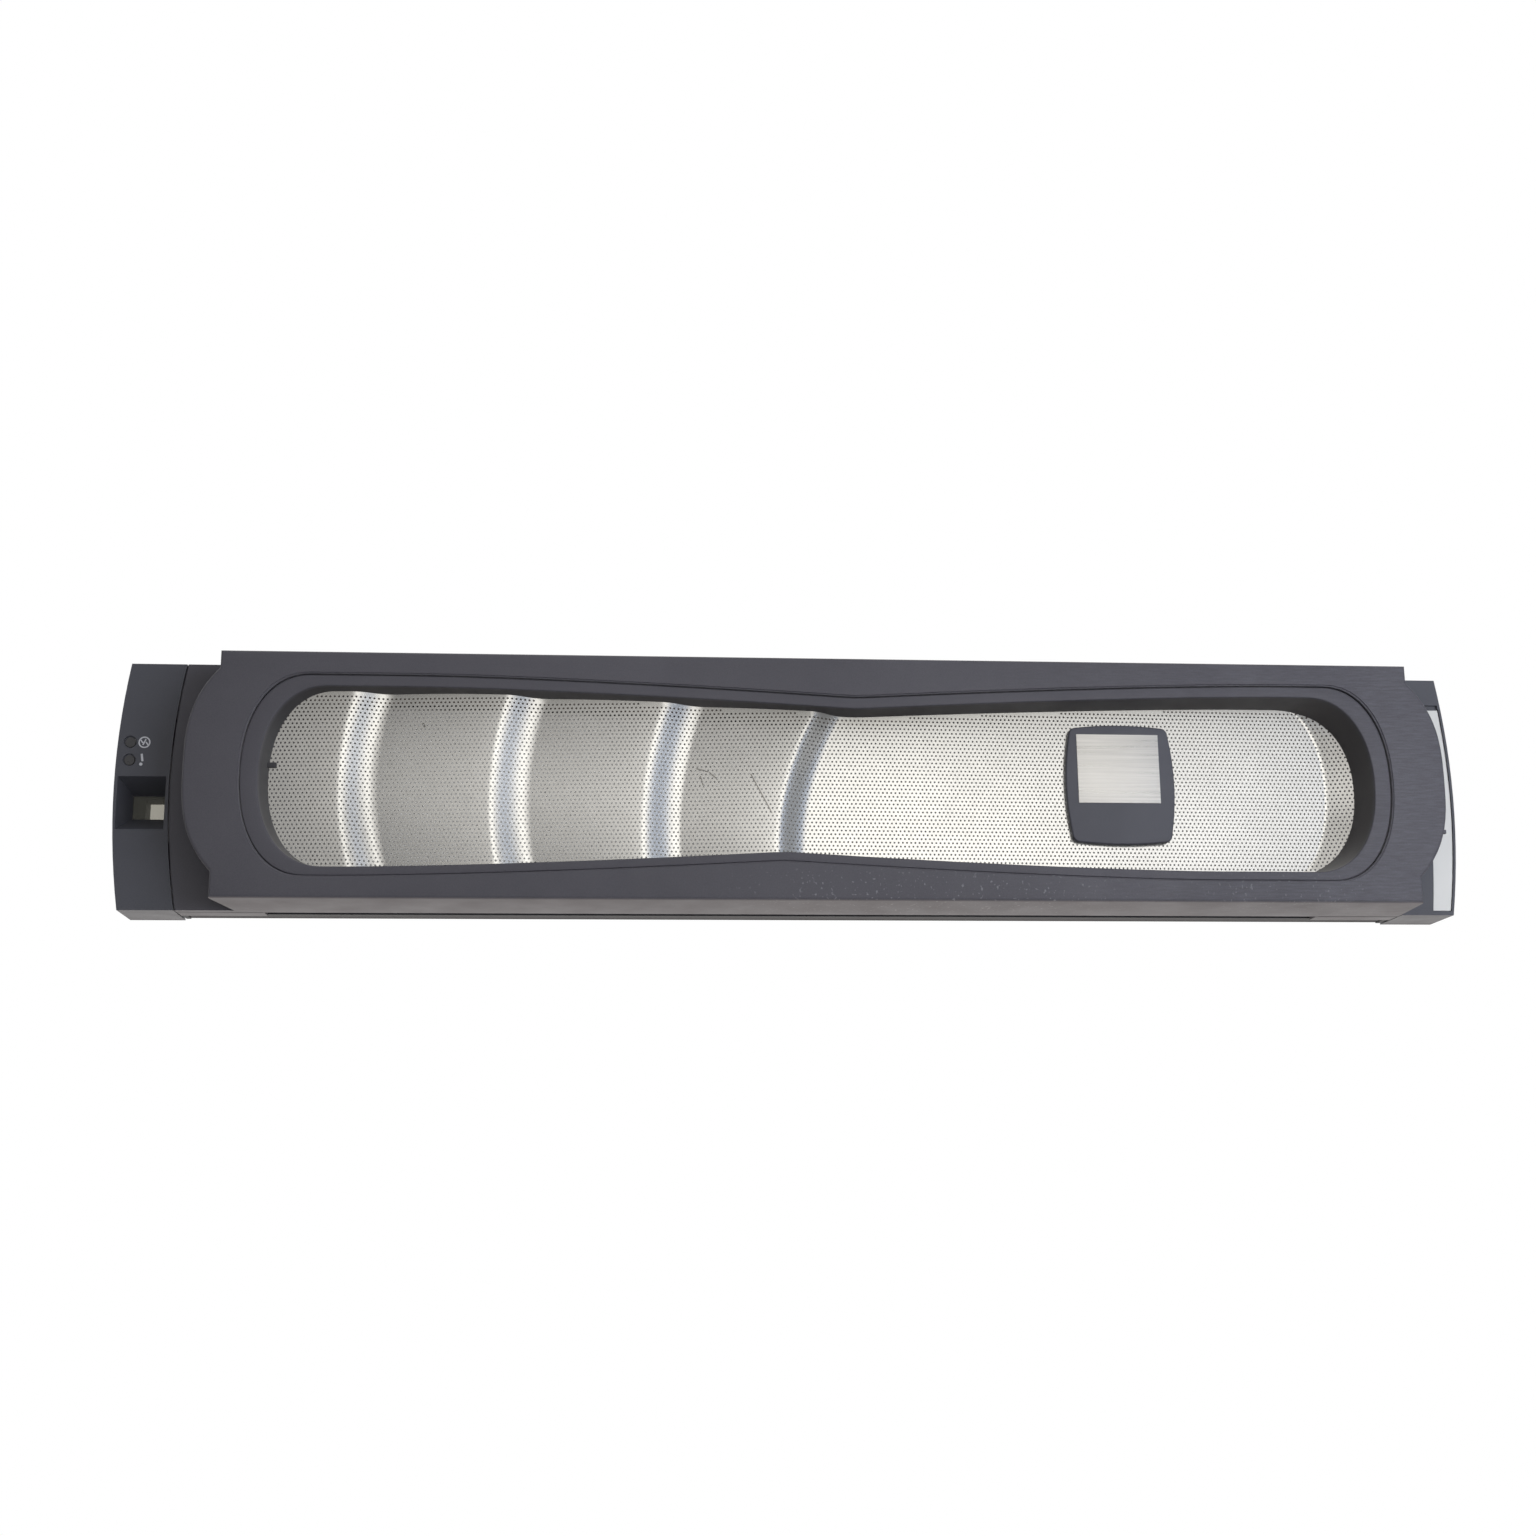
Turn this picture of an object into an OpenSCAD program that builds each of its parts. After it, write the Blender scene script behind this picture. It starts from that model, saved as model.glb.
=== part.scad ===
// Server front bezel for a 19-inch rack, two rack units high.
// X runs along the bezel, Y from front (-) to back (+), Z up. Millimetres.
// The origin is at the middle of the footprint; the ears' front face is the plane y = 0.

/* [Overall] */
// Width over the bowed outer edges of both end caps
total_w = 482.6; // [476:0.2:490]
// Height of the bezel
total_h = 88.4; // [86:0.1:96]
// How far the raised shell stands in front of the ears
proud = 22; // [20.5:0.1:26]
// Depth of the end caps behind the ears' front face
ear_depth = 22; // [20:0.1:30]
// How far the outer edges of the end caps bow outwards
ear_bow = 3.6; // [2:0.1:5]

/* [Seams] */
// Width of an end cap at mid height
cap_w = 19.2; // [18.6:0.1:20.4]
// How far the seam between end cap and shell bows outwards
seam_bow = 4; // [3:0.1:4.6]
// Gap at the seam between end cap and shell
seam_gap = 0.35; // [0.2:0.05:0.6]

/* [Front shell] */
// Distance from the left outer edge to the shell's left side
left_ear_w = 38.3; // [36:0.1:40]
// Distance from the right outer edge to the shell's right side
right_ear_w = 23.3; // [23:0.1:24.5]
// How far the left shoulder bulges over the ear
left_shoulder = 10.8; // [6:0.1:12]
// How far the right shoulder bulges over the ear
right_shoulder = 11.4; // [6:0.1:12]
// Height at which the shoulders begin
shoulder_low = 9.5; // [7:0.1:14]
// Distance from the top at which the shoulders end
shoulder_high = 6.4; // [4:0.1:14]
// Wall thickness of the shell
shell_wall = 2.6; // [2:0.1:2.8]
// Draft of the shell's top and bottom over its raised depth
draft = 0.85; // [0.3:0.05:1.2]
// Rounding of the shell's long front edges
edge_r = 1.2; // [0.5:0.1:1.8]
// How far the shell reaches behind the ears' front face
body_back = 4; // [3.8:0.1:5]
// Thickness of the shell's wings on the ears
wing_t = 2.4; // [2:0.1:3]
// Distance from the four corner tongues' ends to the back of the carrier's rim
tongue_end = 1; // [0.5:0.1:5]
// Length of a corner tongue
tongue_len = 30; // [15:0.5:36]
// Thickness of a corner tongue
tongue_t = 1.3; // [1:0.05:1.4]

/* [Opening] */
// Rail between the shell's left side and the opening
rail_left = 8.3; // [8:0.1:12]
// Rail between the shell's right side and the opening
rail_right = 8.1; // [8:0.1:12]
// Rail above the opening
rail_top = 8.8; // [8.6:0.1:10]
// Rail below the opening
rail_low = 8.6; // [8.5:0.1:10]
// Length of the rounded ends of the opening
end_round = 23; // [20:0.5:28]
// Fullness of the rounded ends (2 is an ellipse, more is squarer)
end_power = 2.2; // [2:0.1:2.6]
// How far the waist pinches the opening, above and below
waist_pinch = 6; // [4:0.1:7]
// Place of the waist's tip on the upper edge
waist_top_x = 18; // [10:0.5:24]
// Place of the waist's tip on the lower edge
waist_low_x = -8; // [-16:0.5:0]
// Length of the waist's slopes
waist_reach = 150; // [110:1:155]

/* [Grille surround] */
// Seam between shell and surround
surround_gap = 0.6; // [0.3:0.05:1]
// How far the surround's band sits back from the shell's face
band_step = 0.8; // [0.3:0.05:1.5]
// Width of the band at the ends of the opening
band_end = 6.3; // [5:0.1:7]
// Width of the band above and below the opening
band_long = 3.4; // [3:0.1:4]
// Wall of the surround's sleeve
sleeve_t = 2; // [1.5:0.1:2.2]
// Overlap of the surround's flange behind the shell's face
flange_w = 2.4; // [1.5:0.1:2.6]
// Thickness of the surround's flange
flange_t = 1.6; // [1:0.1:2.5]
// Where the sleeve ends, behind the ears' front face
sleeve_back = 0.5; // [0:0.1:1]
// Screw posts along the sleeve, above and as many below
post_count = 4; // [3:1:5]
// Nibs along the lower edge that stop the sheet from the front
nib_count = 4; // [2:1:6]

/* [Rippled grille] */
// Thickness of the perforated sheet
sheet_t = 1; // [0.6:0.1:1.5]
// Clearance between the sheet's edge and the sleeve
sheet_fit = 0.25; // [0.1:0.05:0.5]
// Depth of a ripple's crest behind the shell's face
crest_depth = 9; // [7:0.1:11]
// Depth of a ripple's foot behind the shell's face
foot_depth = 14.5; // [12:0.1:16]
// Depth of the flat field behind the shell's face
flat_depth = 15.5; // [14:0.1:17]
// Extra depth at the two ends of the sheet
end_sink = 3.3; // [1:0.1:3.8]
// Place of the first ripple
ripple_x = -155; // [-158:0.5:-150]
// Distance from the first ripple to the second
ripple_pitch = 53.3; // [48:0.1:55]
// How much shorter each further pitch is
pitch_loss = 2.2; // [0:0.1:4]
// Width of the first ripple's step
ripple_w = 16; // [12:0.1:18]
// How much the ripples lean to the right, for each ripple passed
ripple_lean = 4; // [0:0.1:5]
// How far the ripples bow to the left at mid height
ripple_bow = 2.5; // [0:0.1:4]
// Rows of mesh cells from bottom to top
mesh_rows = 9; // [5:1:9]
// Length of a mesh cell in the flat field
mesh_cell = 5.6; // [5.2:0.1:9]
// Share of a mesh cell that its opening takes
hole_share = 0.62; // [0.3:0.01:0.8]

/* [Grille retainer] */
// Thickness of the retainer ring
retainer_t = 2; // [1.5:0.1:2.4]
// How far the retainer ring reaches inwards past the sleeve
retainer_in = 3; // [2:0.1:5]
// Fingers along the ring, above and as many below
finger_count = 6; // [4:1:8]
// Diameter of the retainer's fingers
finger_d = 2.4; // [1.6:0.1:3]
// Size of the nibs that stop the sheet from the front
nib = 1.2; // [0.8:0.1:2]

/* [Badge] */
// Middle of the badge along the bezel
badge_x = 113.8; // [60:0.1:130]
// Middle of the badge above the bottom
badge_z = 45.3; // [43:0.1:47]
// Width of the badge at its corners
badge_w = 36.2; // [32:0.1:40]
// Height of the badge at its corners
badge_h = 42; // [36:0.1:44]
// How far the badge's sides bow outwards
badge_bow_x = 1.7; // [0.5:0.1:3]
// How far the badge's top and bottom bow outwards
badge_bow_z = 0.9; // [0.3:0.1:1.5]
// Corner radius of the badge
badge_r = 3.4; // [2:0.1:5]
// Thickness of the badge
badge_t = 3; // [2:0.1:4]
// Thickness of the foam tape behind the badge
tape_t = 0.6; // [0.3:0.1:1]
// Margin of the foam tape inside the badge's edge
tape_in = 2; // [1:0.1:5]
// Width of the bare metal plate
plate_w = 29.8; // [20:0.1:30.5]
// Height of the bare metal plate
plate_h = 25.2; // [18:0.1:27]
// Distance from the top of the badge to the plate
plate_drop = 2.6; // [2:0.1:6]
// Thickness of the metal plate
plate_t = 0.8; // [0.5:0.05:1.2]
// How far the plate stands out of its pocket
plate_proud = 0.25; // [0.1:0.05:0.4]
// Clearance round the plate in its pocket
plate_fit = 0.1; // [0.05:0.05:0.3]

/* [End caps] */
// Front wall of the end caps
cap_front = 2.4; // [2:0.1:3]
// Side walls of the end caps
cap_wall = 2; // [1.5:0.1:2.1]
// Distance of the ball-stud sockets from the outer edges
stud_inset = 11.3; // [10.6:0.1:11.6]
// Distance of the ball-stud sockets from top and bottom
stud_edge = 12; // [8:0.1:14]
// Width of the left cap's window at the front
window_w = 16.6; // [12:0.1:16.8]
// Height of the left cap's window at the front
window_h = 19; // [14:0.1:20]
// Distance of the window's middle below mid height
window_down = 6.2; // [5:0.1:8]
// Distance of the window's left edge from the outer edge
window_edge = 1.2; // [1:0.1:1.4]
// Depth of the window's funnel
funnel_depth = 12; // [8:0.1:12.5]
// Width of the clear opening at the bottom of the funnel
clear_w = 10.8; // [8:0.1:11]
// Height of the clear opening at the bottom of the funnel
clear_h = 8.3; // [7:0.1:9.5]
// How far the clear opening lies to the right of the window's middle
clear_right = 0.3; // [0:0.05:0.5]
// How far the clear opening lies above the window's middle
clear_up = 0.65; // [0:0.05:0.8]
// Wall of the funnel
funnel_t = 1.2; // [0.8:0.1:1.4]

/* [Window lens] */
// Thickness of the window's lens
lens_t = 1.2; // [0.8:0.1:1.6]
// Margin of the lens round the clear opening
lens_rim = 1; // [0.6:0.1:1.2]
// Clearance round the lens in its pocket
lens_fit = 0.15; // [0.1:0.05:0.3]
// Distance from the clear opening's left side to the shroud's duct
duct_left = 4.1; // [3:0.1:5]
// Distance from the clear opening's top to the shroud's duct
duct_top = 1; // [0.5:0.1:1.5]
// Distance from the shroud's end to the back of the end cap
shroud_end = 1; // [0.5:0.1:2]

/* [Status lights] */
// Diameter of a light pipe
pipe_d = 3.5; // [2.8:0.1:3.8]
// Diameter of the recess round a light pipe
pipe_recess = 4.5; // [4.2:0.1:4.8]
// Depth of the recess round a light pipe
recess_t = 0.8; // [0.4:0.1:1.2]
// Distance of the light pipes from the outer edge
pipe_edge = 4.7; // [4.5:0.1:5.4]
// Distance of the upper light pipe above mid height
pipe_up = 15.6; // [14.6:0.1:16.4]
// Distance between the two light pipes
pipe_pitch = 6.5; // [6:0.1:7]
// Clearance round a light pipe
pipe_fit = 0.1; // [0.05:0.05:0.2]
// Front face of the light pipe holder behind the ears' front face
holder_y = 12; // [9:0.1:14]
// Thickness of the light pipe holder
holder_t = 2; // [1.5:0.1:3]
// Distance from the light pipes' ends to the back of the end cap
pipe_end = 2.5; // [1.5:0.1:4]

/* [Label] */
// Length of the label strip
label_len = 75.2; // [60:0.1:76]
// Height of the label's lower end above the bottom
label_low = 1.8; // [1.2:0.1:4]
// Distance of the label's inner edge from the right outer edge, at the bottom
label_in = 11; // [8:0.1:11.4]
// How far the label's inner edge bows outwards
label_bow = 2.4; // [1:0.1:3]
// Rim between the label and the cap's outer edge
label_rim = 1; // [0.8:0.1:2]
// Depth of the label's recess
label_recess = 1; // [0.6:0.1:1.2]
// Clearance round the label in its recess
label_fit = 0.3; // [0.1:0.05:0.4]
// Thickness of the label
label_t = 0.4; // [0.2:0.05:0.5]
// Bare end of the recess above the label
label_gap = 1.8; // [1:0.1:3]

/* [Rear carrier] */
// Depth of the carrier behind the shell
carrier_depth = 9; // [7:0.1:10]
// Wall of the carrier's rim
carrier_wall = 2.2; // [1.8:0.1:2.4]
// Thickness of the carrier's plate
carrier_t = 2.2; // [1.8:0.1:3]
// How far the carrier is set back from the shell's top and bottom
carrier_inset = 1.5; // [1.45:0.05:1.8]
// How far the carrier's long lips are set back from the shell's top and bottom
lip_inset = 0.8; // [0.6:0.05:1.1]
// Distance from the lips' back edge to the back of the end caps
lip_end = 0.2; // [0.1:0.05:1]
// Distance of the carrier's ends from the outer edges
carrier_side = 24.8; // [24.4:0.1:25.2]
// Distance from the carrier's left end to its window
window_left = 20.5; // [19:0.1:20.8]
// Distance from the carrier's right end to its window
window_right = 7; // [6.6:0.1:7.2]
// Rail between the carrier's top or bottom and its window
carrier_rail = 4.1; // [3.8:0.1:4.3]
// Corner radius of the carrier's window
window_r = 22; // [18:0.5:24]

/* [Fasteners] */
// Diameter of the shell's and the cap's screws
screw_d = 2.9; // [2.5:0.1:3]
// Diameter of the screws of retainer and holder
small_screw_d = 2.2; // [1.8:0.1:2.4]
// Clearance round a screw's shank
screw_fit = 0.1; // [0.05:0.05:0.2]
// Wall of a screw boss
boss_wall = 1.5; // [1.2:0.1:1.6]
// Length of a shell screw below its head
screw_len = 9; // [7:0.5:12]
// Length of a small screw below its head
small_screw_len = 7; // [5:0.5:8]
// Diameter of the ball stud that a socket takes
stud_d = 6; // [5:0.1:6.2]
// Clearance round the ball stud
stud_fit = 0.1; // [0.05:0.05:0.2]
// Wall of a ball-stud socket
socket_wall = 1.9; // [1.5:0.1:2]
// Depth of the ball-stud bore
socket_deep = 8; // [6:0.1:9]
// Width of the slot that lets a socket spring open
socket_slot = 1.2; // [0.8:0.1:1.4]
// Distance from the sockets' mouths to the back of the end cap
socket_end = 2; // [1:0.1:3]
// Diameter of a socket's foot in its boss
foot_d = 4; // [3:0.1:4.4]
// Length of a socket's foot
foot_len = 3.5; // [2:0.1:4]

/* [Hidden] */
$fn = 40;
cut = 1;                                   // how far a cut runs past a face

// Colours
shell_grey = "#4e4e54";
cap_grey = "#47484d";
black = "#2b2b2e";
sheet_grey = "#bdbbb7";
plate_grey = "#b5b4b1";
label_white = "#d9dada";
steel = "#9a9a9c";
smoke = "#6f7066";

// Overall places
half_w = total_w / 2;
mid_z = total_h / 2;
corner_x = half_w - ear_bow;               // outer edge at top and bottom
seam_x = half_w - cap_w - seam_bow;        // seam at top and bottom
shell_l = left_ear_w - half_w;             // left side of the raised shell
shell_r = half_w - right_ear_w;            // right side of the raised shell
shoulder_top = total_h - shoulder_high;
face_y = -proud;
steps = 14;                                // segments of a bowed edge

// Opening in the shell
open_l = shell_l + rail_left;
open_r = shell_r - rail_right;
open_top = total_h - rail_top;
open_low = rail_low;

// Surround, sheet and retainer
band_y = face_y + band_step;
flange_y = face_y + shell_wall;
retainer_y = sleeve_back;
retainer_back = retainer_y + retainer_t;
small_boss_d = small_screw_d + 2 * (screw_fit + boss_wall);
boss_d = screw_d + 2 * (screw_fit + boss_wall);
small_boss_len = small_screw_len + 2;

// Carrier
carrier_y = body_back;
carrier_back = carrier_y + carrier_depth;
tongue_back = carrier_back - tongue_end;
carrier_x = half_w - carrier_side;
tab_t = 2;                                 // cap tabs that lie on the carrier's back
tab_z = 22;                                // distance of a tab's screw from top and bottom
tab_screw_x = carrier_x - 4;

// 1 at mid height, 0 at top and bottom
function bow(z) = 1 - pow((z - mid_z) / mid_z, 2);
function outer_x(z) = corner_x + ear_bow * bow(z);
function seam_at(z) = seam_x + seam_bow * bow(z);
function smooth(t) = let (s = min(1, max(0, t))) s * s * (3 - 2 * s);
function levels(z0, z1) = [for (i = [0:steps]) z0 + (z1 - z0) * i / steps];
function reversed(list) = [for (i = [len(list) - 1:-1:0]) list[i]];

// ---------- shared solids ----------

// Slab between y0 and y1 with an outline drawn in X and Z
module slab(y0, y1, outline) {
    translate([0, y1, 0]) rotate([90, 0, 0]) linear_extrude(y1 - y0) polygon(outline);
}

// Bar along the whole bezel with a section drawn in Y and Z
module bar(section) {
    translate([-half_w, 0, 0]) rotate([90, 0, 90]) linear_extrude(total_w) polygon(section);
}

module block(x, y, z) {
    translate([x[0], y[0], z[0]]) cube([x[1] - x[0], y[1] - y[0], z[1] - z[0]]);
}

// Round rod along Y
module rod(place, y0, y1, d) {
    translate([place[0], y1, place[1]]) rotate([90, 0, 0]) cylinder(d = d, h = y1 - y0);
}

// Pan-head screw with a cross recess, its head seated at y and its shank pointing forwards
module screw(place, y, d, length) {
    head_d = 1.9 * d;
    head_t = 0.6 * d;
    recess = [1.1 * d, 0.28 * d];
    difference() {
        union() {
            rod(place, y - length, y, d);
            rod(place, y, y + head_t, head_d);
        }
        for (a = [0, 90])
            translate([place[0], y + head_t, place[1]]) rotate([0, a, 0])
                cube([recess[0], head_t, recess[1]], center = true);
    }
}

// ---------- outlines ----------

// Raised shell with its two shoulders, inset by g
function shoulder(z) =
    let (t = abs(2 * z - shoulder_low - shoulder_top) / (shoulder_top - shoulder_low))
    1 - pow(min(1, t), 3);
function shell_outline(g) =
    let (zs = [for (i = [0:24]) shoulder_low + (shoulder_top - shoulder_low) * (1 - cos(7.5 * i)) / 2])
    concat(
        [[shell_l + g, -cut]],
        [for (z = zs) [shell_l + g - left_shoulder * shoulder(z), z]],
        [[shell_l + g, total_h + cut], [shell_r - g, total_h + cut]],
        [for (z = reversed(zs)) [shell_r - g + right_shoulder * shoulder(z), z]],
        [[shell_r - g, -cut]]);

// Side view of the shell, inset by g: drafted top and bottom, rounded front edges
function shell_section(g) =
    let (r = max(0.05, edge_r - g), y = face_y + g, low = g + draft)
    concat(
        [[body_back + cut, g], [0, g]],
        [for (a = [0:18:90]) [y + r - r * sin(a), low + r - r * cos(a)]],
        [for (a = [90:-18:0]) [y + r - r * sin(a), total_h - low - r + r * cos(a)]],
        [[0, total_h - g], [body_back + cut, total_h - g]]);

// Wings on the ears, out to the seams, inset by g
function wing_outline(g) =
    let (zs = levels(g, total_h - g))
    concat([for (z = zs) [g - seam_at(z), z]], [for (z = reversed(zs)) [seam_at(z) - g, z]]);

// End cap at one side (-1 left, 1 right), between seam and outer edge
function cap_outline(side, inner, outer, ends) =
    let (zs = levels(ends, total_h - ends))
    concat([for (z = zs) [side * (seam_at(z) + seam_gap + inner), z]],
        [for (z = reversed(zs)) [side * (outer_x(z) - outer), z]]);

// Waisted opening, inset by gx at its ends and gz above and below
function pinch(x, tip) = waist_pinch * pow(max(0, 1 - abs(x - tip) / waist_reach), 1.5);
function bone_top(x, gz) = open_top - gz - pinch(x, waist_top_x);
function bone_low(x, gz) = open_low + gz + pinch(x, waist_low_x);
function end_fill(s) = pow(max(0, 1 - pow(s, end_power)), 1 / end_power);
function bone_xs(gx) =
    let (l = open_l + gx, r = open_r - gx, n = 9, m = 10)
    concat(
        [for (i = [0:n - 1]) l + end_round * (1 - pow(cos(90 * i / n), 2 / end_power))],
        [for (i = [0:m - 1]) l + end_round + (waist_low_x - l - end_round) * i / m],
        [waist_low_x, (waist_low_x + waist_top_x) / 2],
        [for (i = [0:m]) waist_top_x + (r - end_round - waist_top_x) * i / m],
        [for (i = [1:n]) r - end_round * (1 - pow(sin(90 * i / n), 2 / end_power))]);
// Share of the full height at x, which falls to nothing at the ends
function bone_share(x, gx) =
    let (d = min(x - open_l - gx, open_r - gx - x) / end_round)
    d >= 1 ? 1 : end_fill(1 - max(0, d));
function bone_edge(x, gx, gz, up) =
    let (top = bone_top(x, gz), low = bone_low(x, gz), h = (top - low) / 2 * bone_share(x, gx))
    (top + low) / 2 + (up ? h : -h);
function bone(gx, gz) =
    let (xs = bone_xs(gx), last = len(xs) - 1)
    concat([for (x = xs) [x, bone_edge(x, gx, gz, true)]],
        [for (i = [last - 1:-1:1]) [xs[i], bone_edge(xs[i], gx, gz, false)]]);
// The sleeve's inside, inset by g
function sleeve(g) = bone(band_end + g, band_long + g);

// ---------- front shell ----------

// Screw places at the four corners and at the two waist tips
shell_bosses = concat(
    [for (x = [shell_l + 9, shell_r - 9], z = [8, total_h - 8]) [x, z]],
    [[waist_top_x, total_h - 7.4], [waist_low_x, 7.4]]);

module shell_hull(g, back) {
    intersection() {
        slab(face_y + g, back, shell_outline(g));
        bar(shell_section(g));
    }
}

// Thin tongues that reach back beside the end caps, above and below
module tongues() {
    for (side = [-1, 1], z = [0, total_h - tongue_t])
        block(side < 0 ? [-seam_x, tongue_len - seam_x] : [seam_x - tongue_len, seam_x],
            [body_back - cut, tongue_back], [z, z + tongue_t]);
}

module front_shell() color(shell_grey) {
    difference() {
        union() {
            difference() {
                union() {
                    shell_hull(0, 0);
                    slab(0, body_back, wing_outline(0));
                }
                shell_hull(shell_wall, body_back + cut);
                slab(wing_t, body_back + cut, wing_outline(shell_wall));
                slab(face_y - cut, body_back, bone(0, 0));
            }
            tongues();
            for (p = shell_bosses) rod(p, face_y + shell_wall - 0.1, body_back, boss_d);
        }
        for (p = shell_bosses) rod(p, body_back - screw_len, body_back + cut, screw_d + 2 * screw_fit);
    }
}

// ---------- grille surround ----------

// Places spread evenly along the opening
function spread(count) = [for (i = [0.5:count - 0.5]) open_l + (open_r - open_l) * i / count];

// Screw places along the sleeve, above and below
function sleeve_boss(x, up) =
    let (g = band_long - sleeve_t - small_boss_d / 2 + 0.8)
    [x, up ? bone_top(x, g) : bone_low(x, g)];
small_bosses = [for (x = spread(post_count), up = [false, true]) sleeve_boss(x, up)];

// Small stops at the ends and along the bottom that the sheet bears against
nib_spots = concat(
    [[open_l + band_end, mid_z], [open_r - band_end, mid_z]],
    [for (x = spread(nib_count)) [x + 2 * small_boss_d, bone_low(x + 2 * small_boss_d, band_long)]]);

module nibs() {
    for (p = nib_spots)
        translate([p[0], sheet_front(p[0], p[1]) - nib - 0.1, p[1]])
            cube([2 * nib, nib, 2 * nib], center = true);
}

module grille_surround() color(shell_grey) {
    difference() {
        union() {
            slab(band_y, flange_y + flange_t, bone(surround_gap, surround_gap));
            slab(flange_y, flange_y + flange_t, bone(-flange_w, -flange_w));
            slab(flange_y, sleeve_back, sleeve(-sleeve_t));
            for (p = small_bosses) rod(p, sleeve_back - small_boss_len, sleeve_back, small_boss_d);
        }
        slab(face_y - cut, sleeve_back + cut, sleeve(0));
        for (p = small_bosses)
            rod(p, sleeve_back - small_boss_len + 1, sleeve_back + cut, small_screw_d + 2 * screw_fit);
    }
    intersection() {
        nibs();
        slab(face_y, sleeve_back, sleeve(-sleeve_t / 2));
    }
}

// ---------- rippled grille ----------

// The sheet is drawn over a straight coordinate u along the bezel. Its depth depends on u
// alone, and bend() then leans and bows the ripples.
ripples = 4;
function ripple_u(k) = ripple_x + k * ripple_pitch - pitch_loss * k * (k - 1) / 2;
function ripple_width(k) = ripple_w - 0.65 * k * k;
function ripple_start(k) = ripple_u(k) - ripple_width(k) / 2;
function ripple_end(k) = ripple_u(k) + ripple_width(k) / 2;

sheet_l = open_l + band_end + sheet_fit;
sheet_r = open_r - band_end - sheet_fit;

// How far the point at u and height z moves along the bezel
function bend(u, z) =
    let (t = (z - mid_z) / (mid_z - rail_low - band_long),
        last = ripple_u(ripples - 1),
        k = (min(u, last) - ripple_x) / ripple_pitch,
        inside = smooth((u - sheet_l) / 20) * (1 - smooth((u - last - 6) / 90)))
    inside * (ripple_lean * max(0, k + 0.1) * t / 2 - ripple_bow * (1 - t * t));

// Depth of the ripples behind the shell's face
function rise(u, u0, u1) = foot_depth + (crest_depth - foot_depth) * (u - u0) / (u1 - u0);
function step_down(u, k) =
    crest_depth + ((k < ripples - 1 ? foot_depth : flat_depth) - crest_depth)
        * smooth((u - ripple_start(k)) / ripple_width(k));
function depth_from(u, k) =
    k == ripples ? flat_depth
    : u < ripple_start(k) ? rise(u, k == 0 ? ripple_start(0) - 37 : ripple_end(k - 1), ripple_start(k))
    : u < ripple_end(k) ? step_down(u, k)
    : depth_from(u, k + 1);
// The sheet sinks towards its rounded ends
function sink(u, z) =
    let (t = abs(z - mid_z) / (mid_z - rail_low - band_long),
        inner = 24 - 12 * sqrt(max(0, 1 - t * t)),
        d = min(u - sheet_l, sheet_r - u))
    end_sink * smooth((inner - d) / inner);
function sheet_depth(u, z) = depth_from(u, 0) + sink(u, z);
// The straight coordinate of a point at x
function unbend(x, z) = let (u = x - bend(x, z)) x - bend(u, z);
function sheet_front(x, z) = face_y + sheet_depth(unbend(x, z), z);

// Columns of the mesh: close together on the ripples, a cell apart in the flat field
sheet_gx = band_end + sheet_fit;
sheet_gz = band_long + sheet_fit;
field_u = ripple_end(ripples - 1);
field_end = sheet_r - end_round;
field_n = round((field_end - field_u) / mesh_cell);
function end_column(i) = end_round * (1 - pow(cos(90 * i / 6), 2 / end_power));
columns = concat(
    [for (i = [0:5]) sheet_l + 0.5 + end_column(i)],
    [for (k = [0:ripples - 1]) for (i = [0:3]) ripple_start(k) + ripple_width(k) * i / 4],
    [for (k = [0:ripples - 2]) for (i = [0:5])
        ripple_end(k) + (ripple_start(k + 1) - ripple_end(k)) * i / 6],
    [for (i = [0:field_n - 1]) field_u + (field_end - field_u) * i / field_n],
    [for (i = [0:5]) sheet_r - 0.5 - end_column(i)]);
function sorted(list) =
    len(list) < 2 ? list
    : let (p = list[floor(len(list) / 2)])
        concat(sorted([for (v = list) if (v < p) v]), [p], sorted([for (v = list) if (v > p) v]));
us = sorted(columns);
last_col = len(us) - 1;
row_n = mesh_rows;

// Point of the sheet at column u and at share v of the height, on its front face
function rim_z(u, up) =
    let (z = bone_edge(u, sheet_gx, sheet_gz, up))
    bone_edge(min(sheet_r - 0.4, max(sheet_l + 0.4, u + bend(u, z))), sheet_gx, sheet_gz, up);
function sheet_point(u, v) =
    let (z = rim_z(u, false) + (rim_z(u, true) - rim_z(u, false)) * v)
    [u + bend(u, z), face_y + sheet_depth(u, z), z];
function has_hole(i, j) =
    (i + j) % 2 == 0 && i > 0 && i < last_col - 1 && us[i + 1] - us[i] > 1.5;

grid = [for (u = us) for (j = [0:row_n]) sheet_point(u, j / row_n)];
grid_n = len(grid);
cells = [for (i = [0:last_col - 1]) for (j = [0:row_n - 1]) if (has_hole(i, j)) [i, j]];
// Four corners of each opening, at the middles of its cell's sides drawn in to the centre
openings = [for (c = cells)
    let (s = hole_share / 2, u = (us[c[0]] + us[c[0] + 1]) / 2, du = us[c[0] + 1] - us[c[0]],
        v = (c[1] + 0.5) / row_n)
    each [sheet_point(u - s * du, v), sheet_point(u, v + s / row_n),
        sheet_point(u + s * du, v), sheet_point(u, v - s / row_n)]];
front_n = grid_n + len(openings);
front_points = concat(grid, openings);
sheet_points = concat(front_points, [for (p = front_points) p + [0, sheet_t, 0]]);

function at(i, j) = i * (row_n + 1) + j;
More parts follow.
